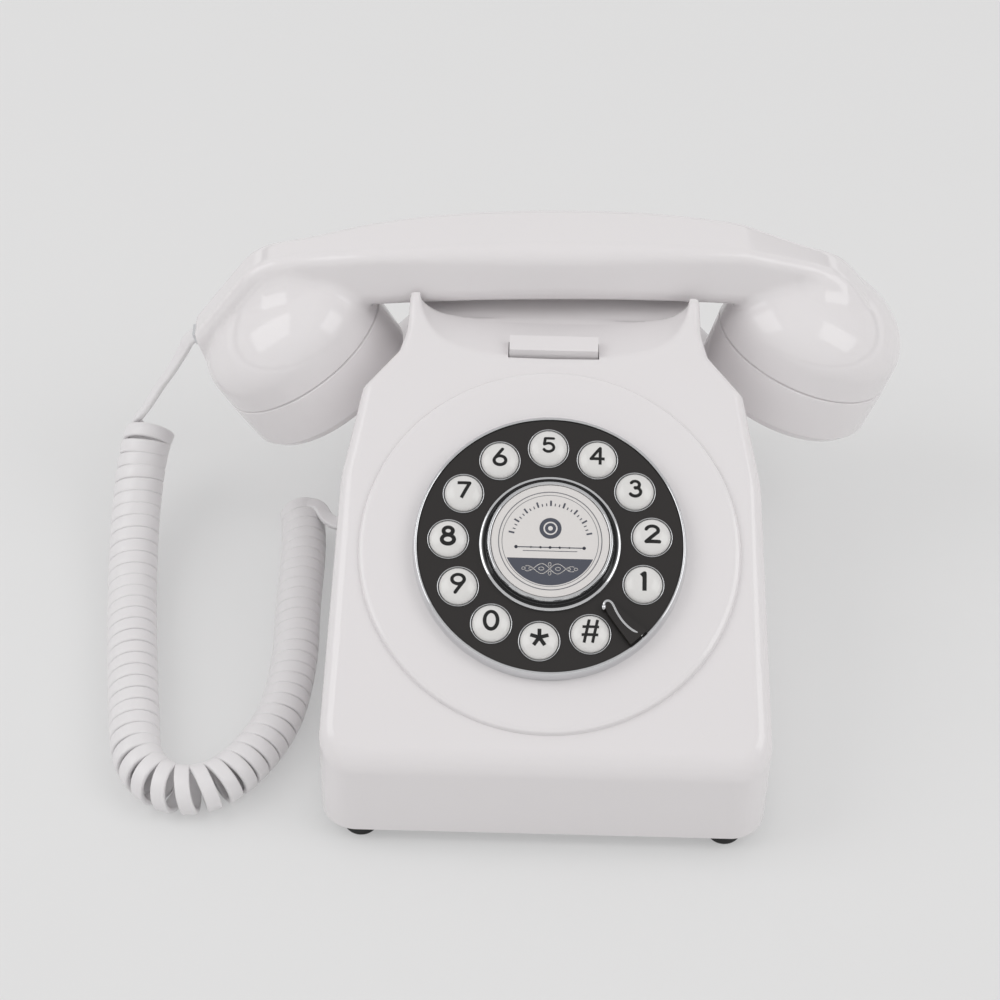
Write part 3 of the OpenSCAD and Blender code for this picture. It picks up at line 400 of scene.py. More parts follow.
def coil_line(per_turn=26, per=8):
    """Centreline of the curls and the outward direction at each of its points."""
    axis = spline(COIL_ROUTE, per)
    run = run_lengths(axis)
    turns = LEFT_TURNS + BEND_TURNS + RIGHT_TURNS + (TURN_LAST - TURN_FIRST) / 360
    t = np.linspace(0, turns, int(turns * per_turn))
    bend_turns = [LEFT_TURNS + BEND_TURNS * share for share in BEND_SHARE]
    turns_at = [*range(len(LOOSE_RUN)), LEFT_TURNS, *bend_turns, turns]
    runs_at = LOOSE_RUN + [run[k * per] for k in range(BEND_FIRST, BEND_LAST + 1)] + [run[-1]]
    s = np.interp(t, turns_at, runs_at)
    radius = np.interp(t, [LEFT_TURNS, LEFT_TURNS + BEND_TURNS], [LEFT_D / 2, RIGHT_D / 2])[:, None]

    def at(s):
        return np.stack([np.interp(s, run, axis[:, k]) for k in range(3)], 1)

    ahead = unit(at(np.minimum(s + 2, run[-1])) - at(np.maximum(s - 2, 0)))
    up = unit(np.array([0, 0, 1.0]) - ahead[:, 2:] * ahead)
    side = np.cross(ahead, up)
    a = np.radians(TURN_FIRST + 360 * t)[:, None]
    out = np.cos(a) * up + np.sin(a) * side
    tuck = TUCK * np.maximum(0, 1 - t / TUCK_TURNS)[:, None] ** 2
    line = at(s) + (radius - CORD_T / 2 - tuck) * out
    room = np.linalg.norm(line[per_turn:] - line[:-per_turn], axis=1)
    room = np.convolve(np.pad(room, (16, per_turn + 15), "edge"), np.ones(32) / 32, "valid")
    lap = np.radians(np.clip((CORD_W - 0.15 - room) * LAP_RATE, 0, LAP_MOST))[:, None]
    return line, out * np.cos(lap) + ahead * np.sin(lap)


def cord_line():
    """Centreline of the whole cord, from the handset's plug to the base's, and its outward side."""
    coil, out = coil_line()
    start_in = unit(coil[1] - coil[0])
    mouth = moved([OUTLET_MID], IN_HANDSET)[0]
    ahead = IN_HANDSET[:3, :3] @ [-math.cos(OUTLET_DOWN), 0, -math.sin(OUTLET_DOWN)]
    first = mouth + (OUTLET_PLUG_OUT - IN_PLUG) * ahead
    lead = spline([first, *LEAD_ROUTE, coil[0] - LEAD_END_RUN * start_in, coil[0]], 8)[:-1]
    last = BASE_PLUG_END + [IN_PLUG, 0, 0]
    tail = spline([coil[-1], *TAIL_ROUTE, last - [TAIL_END_RUN, 0, 0], last], 8)[1:]
    mix = np.linspace(0, 1, len(lead))[:, None] ** 1.4
    lead_out = np.array([0.1, -0.35, 1.0]) * (1 - mix) + out[0] * mix
    mix = np.linspace(0, 1, len(tail))[:, None]
    tail_out = out[-1] * (1 - mix) + np.array([0, -0.2, 1.0]) * mix
    return np.vstack([lead, coil, tail]), np.vstack([lead_out, out, tail_out])


def swept(line, out, section):
    """A closed section carried along a line, its second axis turned to out."""
    ahead = unit(np.gradient(line, axis=0))
    out = unit(out - (out * ahead).sum(1, keepdims=True) * ahead)
    across = np.cross(ahead, out)
    n = len(section)
    verts = np.vstack([line + across * u + out * w for u, w in section]).reshape(n, -1, 3).swapaxes(0, 1)
    verts = verts.reshape(-1, 3)
    faces = [[k * n + j, k * n + (j + 1) % n, (k + 1) * n + (j + 1) % n, (k + 1) * n + j]
             for k in range(len(line) - 1) for j in range(n)]
    faces += [list(range(n))[::-1], [(len(line) - 1) * n + j for j in range(n)]]
    return verts, faces


def make_cord():
    """The coiled cord between the handset and the base, one flat ribbon from plug to plug."""
    line, out = cord_line()
    half_w, half_t, r = CORD_W / 2, CORD_T / 2, 0.7
    section = [((half_w - r) * sx + r * math.cos(a), (half_t - r) * sy + r * math.sin(a))
               for sx, sy, quarter in ((1, 1, 0), (-1, 1, 1), (-1, -1, 2), (1, -1, 3))
               for a in [math.pi / 2 * (quarter + k / 3) for k in range(4)]]
    verts, faces = swept(line, out, section)
    piece = add_piece("curly_cord_ribbon", verts, faces, CORD, None,
                      ["handset_lead", "curly_cord", "base_lead"], sharp=50)
    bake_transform(piece)


make_cord()


# ---------------------------------------------------------------- distance fields
def both(a, b, r):
    """What lies in a and in b, with the edge between them rounded."""
    return np.minimum(np.maximum(a, b), -r) + np.hypot(np.maximum(a + r, 0), np.maximum(b + r, 0))


def either(a, b, r):
    """What lies in a or in b, with a fillet of radius r between them."""
    return -both(-a, -b, r)


def under(value, at, line):
    """Distance over a line given as (at, value) points, where at runs along it."""
    heights = np.interp(at, line[:, 0], line[:, 1])
    slopes = np.gradient(line[:, 1], line[:, 0])
    return (value - heights) / np.sqrt(1 + np.interp(at, line[:, 0], slopes) ** 2)


def box_field(x, y, z, low, high):
    """Distance to a box, measured along its axes."""
    middle, half = (np.array(low) + high) / 2, (np.array(high) - low) / 2
    return np.maximum.reduce([abs(x - middle[0]) - half[0], abs(y - middle[1]) - half[1],
                              abs(z - middle[2]) - half[2]])


def gradient(field, p, e=0.02):
    """How the field grows along each axis at the points p."""
    g = np.empty_like(p)
    for k in range(3):
        step = np.zeros(3)
        step[k] = e
        g[:, k] = (field(*(p + step).T) - field(*(p - step).T)) / (2 * e)
    return g


def crossings(field, axes, values, k, step):
    """Where the surface crosses the grid's edges along axis k: points, cells round them, and which way."""
    cells = np.array(values.shape) - 1
    here, there = [slice(None)] * 3, [slice(None)] * 3
    here[k], there[k] = slice(0, -1), slice(1, None)
    at = np.argwhere((values[tuple(here)] < 0) != (values[tuple(there)] < 0))
    u, v = (k + 1) % 3, (k + 2) % 3
    at = at[(at[:, u] > 0) & (at[:, v] > 0) & (at[:, u] < cells[u]) & (at[:, v] < cells[v])]
    inside = values[tuple(at.T)] < 0
    p = np.stack([axes[j][at[:, j]] for j in range(3)], 1)
    lo, hi = np.zeros(len(at)), np.ones(len(at))
    for _ in range(7):  # halve the stretch that holds the crossing
        mid = (lo + hi) / 2
        q = p.copy()
        q[:, k] += mid * step
        same = (field(*q.T) < 0) == inside
        lo, hi = np.where(same, mid, lo), np.where(same, hi, mid)
    p[:, k] += (lo + hi) / 2 * step
    ring = []
    for du, dv in ((-1, -1), (0, -1), (0, 0), (-1, 0)):
        cell = at.copy()
        cell[:, u] += du
        cell[:, v] += dv
        ring.append((cell[:, 0] * cells[1] + cell[:, 1]) * cells[2] + cell[:, 2])
    return p, np.stack(ring, 1), inside


def cell_points(spots, normals, index, count):
    """In each cell, the middle of its crossings and the shift to where their tangent planes meet."""
    def total(weights):
        return np.bincount(index.ravel(), np.repeat(weights, 4), count)

    number = total(np.ones(len(spots)))
    centre = np.stack([total(spots[:, k]) / number for k in range(3)], 1)
    matrix, right = np.zeros((count, 3, 3)), np.zeros((count, 3))
    offset = np.einsum("ij,ij->i", normals, spots)
    for i in range(3):
        right[:, i] = total(normals[:, i] * offset)
        for j in range(3):
            matrix[:, i, j] = total(normals[:, i] * normals[:, j])
    right -= np.einsum("nij,nj->ni", matrix, centre)
    matrix += 0.03 * number[:, None, None] * np.eye(3)
    return centre, np.linalg.solve(matrix, right[:, :, None])[:, :, 0]


def contour(field, low, high, step):
    """Points and quads of a field's zero surface, by dual contouring, so that edges stay crisp."""
    axes = [low[k] + step * np.arange(int((high[k] - low[k]) / step) + 2) for k in range(3)]
    values = np.empty([len(a) for a in axes])
    for i in range(0, len(axes[0]), 16):  # in slabs, to save memory
        values[i:i + 16] = field(*np.meshgrid(axes[0][i:i + 16], axes[1], axes[2], indexing="ij"))
    spots, owners, inside = (np.concatenate(part) for part in zip(
        *(crossings(field, axes, values, k, step) for k in range(3))))
    normals = gradient(field, spots)
    normals /= np.maximum(np.linalg.norm(normals, axis=1, keepdims=True), 1e-9)
    ids, index = np.unique(owners, return_inverse=True)
    centre, shift = cell_points(spots, normals, index, len(ids))
    verts = centre + np.clip(shift, -0.9 * step, 0.9 * step)
    for _ in range(2):  # pull each point onto the surface
        g = gradient(field, verts)
        size = np.maximum((g * g).sum(1), 0.2)
        verts -= np.clip(field(*verts.T) / size, -0.3 * step, 0.3 * step)[:, None] * g
    quads = np.where(inside[:, None], owners, owners[:, ::-1])
    return verts, np.searchsorted(ids, quads)


# ---------------------------------------------------------------- housing
# Half width of the face, shoulders and neck, from front to rear.
FACE_SIDE = rounded([[-110, 71], [-84, 70], [-8, 66.95], [19.2, 61.3], [31, 50], [38, 47.7], [49, 47],
                     [110, 46]], [40, 30, 3, 5, 20, 20])
# Half width of the base below the handset.
BASE_SIDE = rounded([[-110, 71], [-84, 70], [-8, 66.95], [40, 65.5], [110, 62]], [40, 30, 30])
# Trough of the saddle: its height at each distance from the middle.
SADDLE = rounded([[0, SADDLE_Z - 0.3], [14, SADDLE_Z], [24, SADDLE_Z + 0.9], [33, SADDLE_Z + 2.2],
                  [39, SADDLE_Z + 4.5], [43.4, SADDLE_Z + 9.0], [45.4, ABOVE_ALL], [46, ABOVE_ALL + 20]],
                 [60, 40, 30, 20, 8, 4])
CORNER_R, REAR_CORNER_R = 12.0, 6.0
# The horns' tops rise a little to the rear, and the rear wall leans forward above a height.
TOP_Z, TOP_Y, TOP_RISE = HORN_Z + 0.3, 49.7, 0.023
REAR_LEAN, REAR_LEAN_Z = math.atan(9 / 64), 40
# Radius of the face's side edges, from front to rear.
EDGE_Y, EDGE_R = [-60, 10, 40, 50], [5.2, 4.2, 2.6, 1.6]
# The wings beside the neck slope away from an edge at this distance and height.
WING_X, WING_Z, WING_TOP, WING_FRONT = 63, 38, 58, -7
CHANNEL_FRONT, CHANNEL_REAR, CHANNEL_FLARE = HORN_Y + 1.2, HANDSET_Y + 14.5, 0.1


def housing_field(x, y, z):
    """Distance to the case as if it were solid: body, wings, saddle and handle channel."""
    side = abs(x)
    above = (z - CREASE_Z) * COS - (y - FRONT_Y) * SIN
    ahead = FRONT_Y - y
    top = z - (TOP_Z + (y - TOP_Y) * TOP_RISE)
    leaning = (y - REAR_Y) * math.cos(REAR_LEAN) + (z - REAR_LEAN_Z) * math.sin(REAR_LEAN)
    behind = np.maximum(y - REAR_Y, leaning)
    plan = both(both(under(side, y, FACE_SIDE), ahead, CORNER_R), behind, REAR_CORNER_R)
    body = both(plan, both(above, top, 1.0), np.interp(y, EDGE_Y, EDGE_R))
    low_plan = both(both(under(side, y, BASE_SIDE), ahead, CORNER_R), behind, CORNER_R)
    gentle = ((side - WING_X) * 5 + (z - WING_Z) * 12) / 13
    steep = ((side - WING_X) * 20 + (z - WING_Z) * 15.5) / 25.3
    wing = both(low_plan, np.maximum(either(gentle, steep, 8.0), z - WING_TOP), 4.0)
    body = either(body, np.maximum(wing, WING_FRONT - y), 3.0)
    scoop = np.interp(y, [TAB_Y - 1.9, CHANNEL_FRONT, HANDSET_Y + 10], [0, SADDLE_Z - CHANNEL_Z, 0])
    body = both(body, under(z + scoop, side, SADDLE), 0.9)
    flare = np.maximum(z - CHANNEL_Z, 0) * CHANNEL_FLARE
    channel = both(np.maximum(CHANNEL_FRONT - y, y - CHANNEL_REAR - flare), CHANNEL_Z - z, 2.5)
    return both(body, -channel, np.interp(side, [34, 42], [0.3, 1.0]))


def dial_place(x, y, z):
    """Radius from the dial's axis and height above the face."""
    _, cy, cz = face_point(DIAL_U)
    across = (y - cy) * COS + (z - cz) * SIN
    return np.hypot(x, across), (z - cz) * COS - (y - cy) * SIN


def housing_shell(x, y, z):
    """The case as a wall open below, with its holes for dial, hook and sockets."""
    outer = housing_field(x, y, z)
    shell = np.maximum(np.maximum(outer, HOUSE_Z - z), -(outer + WALL))
    radius, height = dial_place(x, y, z)
    openings = [
        np.maximum(radius - (PLATE_R - DIAL_LEDGE), abs(height) - 12),
        box_field(x, y, z, [-TAB_W / 2 - HOOK_GAP, TAB_Y - TAB_AHEAD, PIVOT_Z],
                  [TAB_W / 2 + HOOK_GAP, TAB_Y + TAB_D + TAB_BEHIND, ABOVE_ALL]),
        box_field(x, y, z, [-FINGER_W / 2 - HOOK_GAP, FINGER_Y - FINGER_D / 2 - FINGER_AHEAD, PIVOT_Z - 5],
                  [FINGER_W / 2 + HOOK_GAP, FINGER_Y + FINGER_D / 2 + FINGER_BEHIND, ABOVE_ALL]),
        box_field(x, y, z, [-90, BASE_JACK_Y - SOCKET_HALF, 0],
                  [-61.8, BASE_JACK_Y + SOCKET_HALF, SOCKET_TOP]),
        box_field(x, y, z, [LINE_JACK_X - SOCKET_HALF, 90, 0],
                  [LINE_JACK_X + SOCKET_HALF, 110, SOCKET_TOP])]
    for opening in openings:
        shell = np.maximum(shell, -opening)
    return shell


FINE = 1.0  # step of the contouring grid
verts, quads = contour(housing_shell, [-73, -98, 4.2], [73, 98, 107], FINE)
add_piece("base_housing", verts, quads, WHITE, "base", ["housing"], sharp=38)

pad = rounded([[PLATE_R - DIAL_LEDGE, -0.6], [PAD_R + 0.6, -0.6], [PAD_R + 0.35, 0.25],
               [PAD_R - 0.1, PAD_H - 0.25], [PAD_R - 1.6, PAD_H], [PLATE_R - DIAL_LEDGE, PAD_H]],
              [0, 0.3, 0.9, 1.2], 5)
v, f = lathe(pad, 192, closed=True)
add_piece("dial_pad", moved(v, ON_DIAL), f, WHITE, "base", sharp=50)


# ---------------------------------------------------------------- dial
LABEL_H = PLATE_H + LABEL_RISE


def turned(name, profile, surface, body, replaces, at=None, segments=96, closed=True, sharp=40):
    """A turned piece, on the dial's axis unless another frame is given."""
    v, f = lathe(profile, segments, closed)
    add_piece(name, moved(v, ON_DIAL if at is None else at), f, surface, body, replaces, sharp)


rim = rounded([[PLATE_R + 0.1, PAD_H - 0.3], [PLATE_R + 1.7, PAD_H - 0.3], [PLATE_R + 1.62, PAD_H + 1.6],
               [PLATE_R + 1.2, PLATE_H + 0.1], [PLATE_R + 0.75, PLATE_H + 0.65],
               [PLATE_R + 0.2, PLATE_H + 0.6], [PLATE_R + 0.1, PLATE_H + 0.1]], [0.1, 1.5, 1.2, 0.35, 0.3], 4)
turned("dial_rim_ring", rim, CHROME, "base", ["dial_rim"], segments=192)
ring = rounded([[LABEL_R + 0.1, PLATE_H - 0.1], [RING_R, PLATE_H - 0.1], [RING_R, PLATE_H + 1.1],
                [RING_R - 0.9, PLATE_H + 1.35], [RING_R - 1.5, PLATE_H + 0.75], [RING_R - 2.1, PLATE_H + 1.3],
                [LABEL_R + 1.35, LABEL_H - 0.2], [LABEL_R + 1.0, LABEL_H + 0.45],
                [LABEL_R + 0.35, LABEL_H + 0.4], [LABEL_R + 0.1, LABEL_H - 0.2]],
               [0.1, 0.5, 0.45, 0.3, 0.6, 0.8, 0.3, 0.25], 4)
turned("centre_ring_trim", ring, CHROME, "base", ["centre_ring"], segments=160)
# Black band in the ring's groove: painted reflection of a dark room in the chrome.
painted_reflection_band = rounded([[RING_R - 1.95, PLATE_H + 0.6], [RING_R - 0.65, PLATE_H + 0.6],
                 [RING_R - 0.65, PLATE_H + 1.2], [RING_R - 1.3, PLATE_H + 1.45],
                 [RING_R - 1.95, PLATE_H + 1.2]], [0.05, 0.1, 0.5, 0.1], 4)
turned("centre_ring_painted_reflection", painted_reflection_band, PAINTED_REFLECTION_BLACK, "base", [], segments=160)


def button_at(k):
    """The frame of the button k places round from the first."""
    a = math.radians(BUTTON_ANGLE + BUTTON_STEP * k)
    return ON_DIAL @ place([BUTTON_CIRCLE * math.cos(a), BUTTON_CIRCLE * math.sin(a), 0])


KEYS = ["1", "2", "3", "4", "5", "6", "7", "8", "9", "0", "star", "hash"]
BEZEL_R = BUTTON_R + 0.6
bezel = rounded([[BEZEL_R - 0.3, PLATE_H - 2], [BEZEL_R + 0.05, PLATE_H - 2],
                 [BEZEL_R + 0.08, PLATE_H + 0.25], [BEZEL_R - 0.02, PLATE_H + 0.5],
                 [BEZEL_R - 0.22, PLATE_H + 0.5], [BEZEL_R - 0.3, PLATE_H + 0.2]], [0, 0.1, 0.1, 0.1], 3)
v, f = lathe(bezel, 64, closed=True)
v, f = gathered([(moved(v, button_at(k)), f) for k in range(len(KEYS))])
add_piece("button_bezel_rings", v, f, CHROME, "base", ["button_bezels"], sharp=50)


def dome(r):
    """Height of a button's top at a distance from its middle."""
    return PLATE_H + 0.35 + (BUTTON_RISE - 0.35) * np.sqrt(np.maximum(1 - (r / BUTTON_R) ** 2, 0))


def arc_points(cx, cy, rx, ry, start, end, steps=20):
    """Points along a stretch of an ellipse, from one angle in degrees to another."""
    a = np.radians(np.linspace(start, end, steps + 1))
    return np.stack([cx + rx * np.cos(a), cy + ry * np.sin(a)], 1)


def joined(*parts):
    """One line of points from points and lines."""
    return np.vstack([np.atleast_2d(np.asarray(part, float)) for part in parts])


# Each key's strokes in a box 1 high, its height in millimetres, its width as a share of that, and its pen.
GLYPHS = {
    "0": ([arc_points(0, 0, 0.31, 0.44, 90, 450, 36)], 6.5, 1.0, 0.95),
    "1": ([joined([-0.17, 0.31], [0.05, 0.45], [0.05, -0.5])], 6.1, 0.8, 1.1),
    "2": ([joined(arc_points(0, 0.2, 0.28, 0.24, 165, -28), [-0.27, -0.43], [0.34, -0.43])], 5.9, 1.15, 0.95),
    "3": ([arc_points(-0.01, 0.22, 0.22, 0.22, 150, -85), arc_points(0, -0.21, 0.28, 0.25, 92, -150)],
          5.6, 1.1, 0.85),
    "4": ([joined([0.36, -0.16], [-0.34, -0.16], [0.13, 0.5], [0.13, -0.5])], 5.6, 1.1, 0.8),
    "5": ([joined([0.27, 0.45], [-0.19, 0.45], [-0.24, 0.03], arc_points(0.0, -0.17, 0.29, 0.28, 125, -150))],
          5.0, 1.15, 0.75),
    "6": ([arc_points(0, -0.2, 0.3, 0.26, 0, 360, 30),
           joined(arc_points(0, -0.2, 0.3, 0.26, 180, 150, 4), [0.12, 0.5])], 5.6, 1.1, 0.85),
    "7": ([joined([-0.31, 0.44], [0.31, 0.44], [-0.1, -0.5])], 5.4, 1.15, 0.9),
    "8": ([arc_points(0, 0.25, 0.22, 0.21, 0, 360, 30), arc_points(0, -0.22, 0.29, 0.24, 0, 360, 30)],
          6.0, 1.1, 1.05),
    "9": ([arc_points(0, 0.2, 0.3, 0.26, 0, 360, 30),
           joined(arc_points(0, 0.2, 0.3, 0.26, 0, -30, 4), [-0.12, -0.5])], 6.1, 1.05, 0.9),
    "star": ([joined([0, 0], [0.5 * math.cos(a), 0.5 * math.sin(a)])
              for a in np.radians([90, 162, 234, 306, 18])], 5.9, 1.0, 1.0),
    "hash": ([joined([-0.26, -0.5], [-0.05, 0.5]), joined([0.1, -0.5], [0.31, 0.5]),
              joined([-0.34, 0.17], [0.37, 0.17]), joined([-0.37, -0.17], [0.34, -0.17])], 7.6, 0.95, 0.75)}


PEN = 1.2
BLUNT = ("star", "hash", "7", "4", "1")


def stroke(points, width, spacing=0.25, blunt=False):
    """A pen line of one width: its points, laid out flat, and faces. Its ends are round unless blunt."""
    points = np.asarray(points, float)
    verts, faces = [], []
    for a, b in zip(points, points[1:]):
        along = (b - a) / max(np.linalg.norm(b - a), 1e-9)
        across = np.array([-along[1], along[0]]) * width / 2
        steps = max(int(np.linalg.norm(b - a) / spacing), 1)
        base = len(verts)
        for mix in np.linspace(0, 1, steps + 1):
            middle = a + (b - a) * mix
            verts += [middle + across, middle, middle - across]
        faces += [[base + 3 * k + i, base + 3 * k + i + 1, base + 3 * k + i + 4, base + 3 * k + i + 3]
                  for k in range(steps) for i in (0, 1)]
    for middle in points[1:-1] if blunt else points:  # round joints and ends
        base = len(verts)
        verts += [middle] + [middle + width / 2 * np.array([math.cos(a), math.sin(a)])
                             for a in np.arange(12) * math.pi / 6]
        faces += [[base, base + 1 + k, base + 1 + (k + 1) % 12] for k in range(12)]
    return np.array(verts), faces


for k, key in enumerate(KEYS):
    top = [[r, dome(r)] for r in BUTTON_R * np.sin(np.linspace(math.pi / 2, 0, 14))]
    skirt = [[0, PLATE_H - 6.5], [3.4, PLATE_H - 6.5], [3.4, PLATE_H - 3.4], [BUTTON_R + 0.9, PLATE_H - 3.4],
             [BUTTON_R + 0.9, PLATE_H - 2.35], [BUTTON_R, PLATE_H - 2.3]]
    body = "button_" + key
    turned("key_" + key, skirt + top, KEY, body, [body], button_at(k), 64, False, 50)
    lines, height, wide, pen = GLYPHS[key]
    v, f = gathered([stroke(line * [height * wide, height], pen * PEN, blunt=key in BLUNT) for line in lines])
    v = v + [0.0, 0.55]
    v = np.column_stack([v, dome(np.hypot(v[:, 0], v[:, 1])) + 0.05])
    add_piece("key_print_" + key, moved(v, button_at(k)), f, INK, body)


# ---------------------------------------------------------------- label
def flat_piece(name, parts, height, surface):
    """Print on the label, a little above its face."""
    v, f = gathered(parts)
    v = np.column_stack([v, np.full(len(v), LABEL_H + height)])
    add_piece(name, moved(v, ON_DIAL), f, surface, "base")


def annulus(cx, cy, inner, outer, steps=96):
    """A flat ring, or a disc where inner is 0."""
    a = np.arange(steps) * 2 * math.pi / steps
    ring = np.stack([np.cos(a), np.sin(a)], 1)
    return (np.vstack([ring * outer, ring * inner]) + [cx, cy],
            [[k, (k + 1) % steps, steps + (k + 1) % steps, steps + k] for k in range(steps)])


def segment_below(chord, radius, steps=60):
    """The part of a disc below a level chord."""
    half = math.acos(-chord / radius)
    a = np.linspace(-math.pi / 2 - half, -math.pi / 2 + half, steps + 1)
    return (np.vstack([np.stack([np.cos(a), np.sin(a)], 1) * radius, [[0, chord]]]),
            [[k, k + 1, steps + 1] for k in range(steps)])


flat_piece("label_rule_outer", [annulus(0, 0, 15.95, 16.25)], 0.03, RULE)
flat_piece("label_rule_inner", [annulus(0, 0, 14.95, 15.12)], 0.03, RULE)
flat_piece("label_segment", [segment_below(-5.8, 14.6)], 0.03, SLATE)

ticks = []
for k in range(25):  # every third one is long
    a = math.radians(12 + 156 * k / 24)
    ray = np.array([math.cos(a), math.sin(a)])
    end, width = (13.3, 0.55) if k % 3 == 0 else (12.4, 0.32)
    ticks.append(stroke([ray * 11.5, ray * end], width, blunt=True))
flat_piece("label_ticks", ticks, 0.04, SLATE)
rule = [stroke([[-10.6, -2.2], [10.6, -2.2]], 0.32), stroke([[-8.4, -3.4], [8.4, -3.4]], 0.2)]
rule += [stroke([[s * 10.6, -2.2], [s * 10.6, -2.21]], 1.1) for s in (-1, 1)]
rule += [stroke([[x, -2.2], [x, -2.21]], 0.9 - 0.05 * abs(x)) for x in (-6, -3, 0, 3, 6)]
flat_piece("label_rule", rule, 0.04, SLATE)
flat_piece("label_mark", [annulus(0, 4.1, 0.0, 3.45)], 0.03, SLATE)
flat_piece("label_mark_ring", [annulus(0, 4.1, 1.75, 2.2, 48), annulus(0, 4.1, 0.0, 0.75, 24)], 0.05, CREAM)

# Scroll on the dark field: crossing waves with loops at their ends and middle.
x = np.linspace(-7.6, 7.6, 90)
wave = 1.7 * np.sqrt(np.maximum(1 - (x / 8.3) ** 2, 0)) * np.cos(math.pi * x / 5.07 + math.pi / 2)
scroll = [stroke(np.stack([x, side * wave], 1), 0.26, blunt=True) for side in (1, -1)]
for cx, cy, rx, ry, steps, width in (
        (8.15, 0, 0.55, 0.42, 20, 0.22), (0, 1.45, 0.42, 0.62, 20, 0.22), (2.6, 0, 0.8, 0.5, 24, 0.24),
        (5.9, 0, 0.6, 0.36, 20, 0.2)):
    scroll += [stroke(arc_points(side * cx, side * cy, rx, ry, 0, 360, steps), width) for side in (-1, 1)]
v, f = gathered(scroll)
flat_piece("label_scroll", [(v + [0, -9.2], f)], 0.05, CREAM)


# ---------------------------------------------------------------- handset
def handle_top():
    """Height of the handle's top line from the cord outlet to the earpiece."""
    xs = np.linspace(-END_X + 6, END_X - 6, 60)
    arch = np.stack([xs, HANDLE_B - arch_drop(xs)], 1)
    left = [[-p[0], p[1]] for p in (MOUTH_BEND + [onward(MOUTH_BEND[-1], MOUTH_END_SLOPE, 60)])[::-1]]
    right = EAR_BEND + [onward(EAR_BEND[-1], EAR_END_SLOPE, 60)]
    line = np.vstack([left, arch, right])
    at = np.linspace(line[0, 0], line[-1, 0], 500)
    height = np.interp(at, line[:, 0], line[:, 1])
    kernel = np.hanning(11) / np.hanning(11).sum()
    soft = np.convolve(np.pad(height, 5, "edge"), kernel, "valid")
    soft[:6], soft[-6:] = height[:6], height[-6:]
    return np.stack([at, soft], 1)


HANDLE_TOP = handle_top()


def bell_distance(x, y, z, side):
    """Distance to a bell with its dome, open below at the cap's joint."""
    m = np.linalg.inv(place([side * BELL_X, 0, -BELL_DROP], rotation("Y", side * TILT[side])))
    bx, by, bz = (m[k, 0] * x + m[k, 1] * y + m[k, 2] * z + m[k, 3] for k in range(3))
    r = np.hypot(bx, by)
    lift = np.maximum(bz - BELL_BAND, 0)
    k = np.hypot(r / BELL_R, lift / DOME_H)
    steep = np.maximum(np.hypot(r / BELL_R**2, lift / DOME_H**2), 1e-6)
    return (k - 1) * np.maximum(k, 0.05) / steep, bz


SEAM = 0.3
# Radii of the handle's upper and lower edges, and of its fillet with the bells, by distance from the middle.
TOP_EDGE = [10, 40, 60, 95, 110], [6.0, 4.5, 3.6, 3.2, 3.0]
LOW_EDGE = [20, 60, 95, 110], [8.0, 7.0, 4.0, 3.0]
BELL_FILLET = [60, 80, 88, 96, 106], [3.0, 3.0, 8.0, 8.0, 1.2]
# How far down the handle's ends reach inside the bells.
SPINE_LOW, SPINE_X, HEEL_LOW, HEEL_X = -37, -70, -30, 66
# Beyond the bar its ends narrow by this much, at this rate, and each cap has room round its bell.
END_TAPER, TAPER_RATE, CAP_ROOM = 1.2, 0.134, 8


def handset_field(x, y, z):
    """Distance to the handle and bells, cut off level with the caps' seams."""
    far = np.maximum(abs(x) - BAR_X, 0)
    near = np.minimum(abs(x), BAR_X)
    depth = HANDLE_A - (HANDLE_A - HANDLE_A_END) * (near / BAR_X) ** 2
    depth -= END_TAPER * (1 - np.exp(-far * TAPER_RATE))
    top = under(z, x, HANDLE_TOP)
    bottom = -HANDLE_B - arch_drop(x) - z
    upper = both(abs(y) - depth, top, np.interp(abs(x), *TOP_EDGE))
    bar = both(upper, both(bottom, abs(x) - 96, 3), np.interp(abs(x), *LOW_EDGE))
    out = (-x - OUTLET_TOP[0]) * math.cos(OUTLET_DOWN) + (OUTLET_TOP[1] - z) * math.sin(OUTLET_DOWN)
    spine = both(both(upper, both(SPINE_LOW - z, x - SPINE_X, 2.0), 2.0), out, 0.6)
    heel = both(upper, both(HEEL_LOW - z, HEEL_X - x, 2.0), 2.0)
    whole = np.minimum(bar, np.minimum(spine, heel))
    for side in (-1, 1):
        bell, _ = bell_distance(x, y, z, side)
        merged = either(whole, bell, np.interp(side * x, *BELL_FILLET))
        whole = np.maximum(merged, np.minimum(np.minimum(whole, bell), top + 0.2))
    for side in (-1, 1):
        bell, bz = bell_distance(x, y, z, side)
        near_cap = np.maximum(bell - CAP_ROOM, bz - SEAM)
        whole = np.maximum(whole, -near_cap)
    return whole


verts, quads = contour(handset_field, [-125, -33, -60], [119, 33, 13], FINE * 0.9)
add_piece("handset_body", moved(verts, IN_HANDSET), quads, WHITE, "handset",
          ["handset_shell", "handset_cover"], sharp=38)
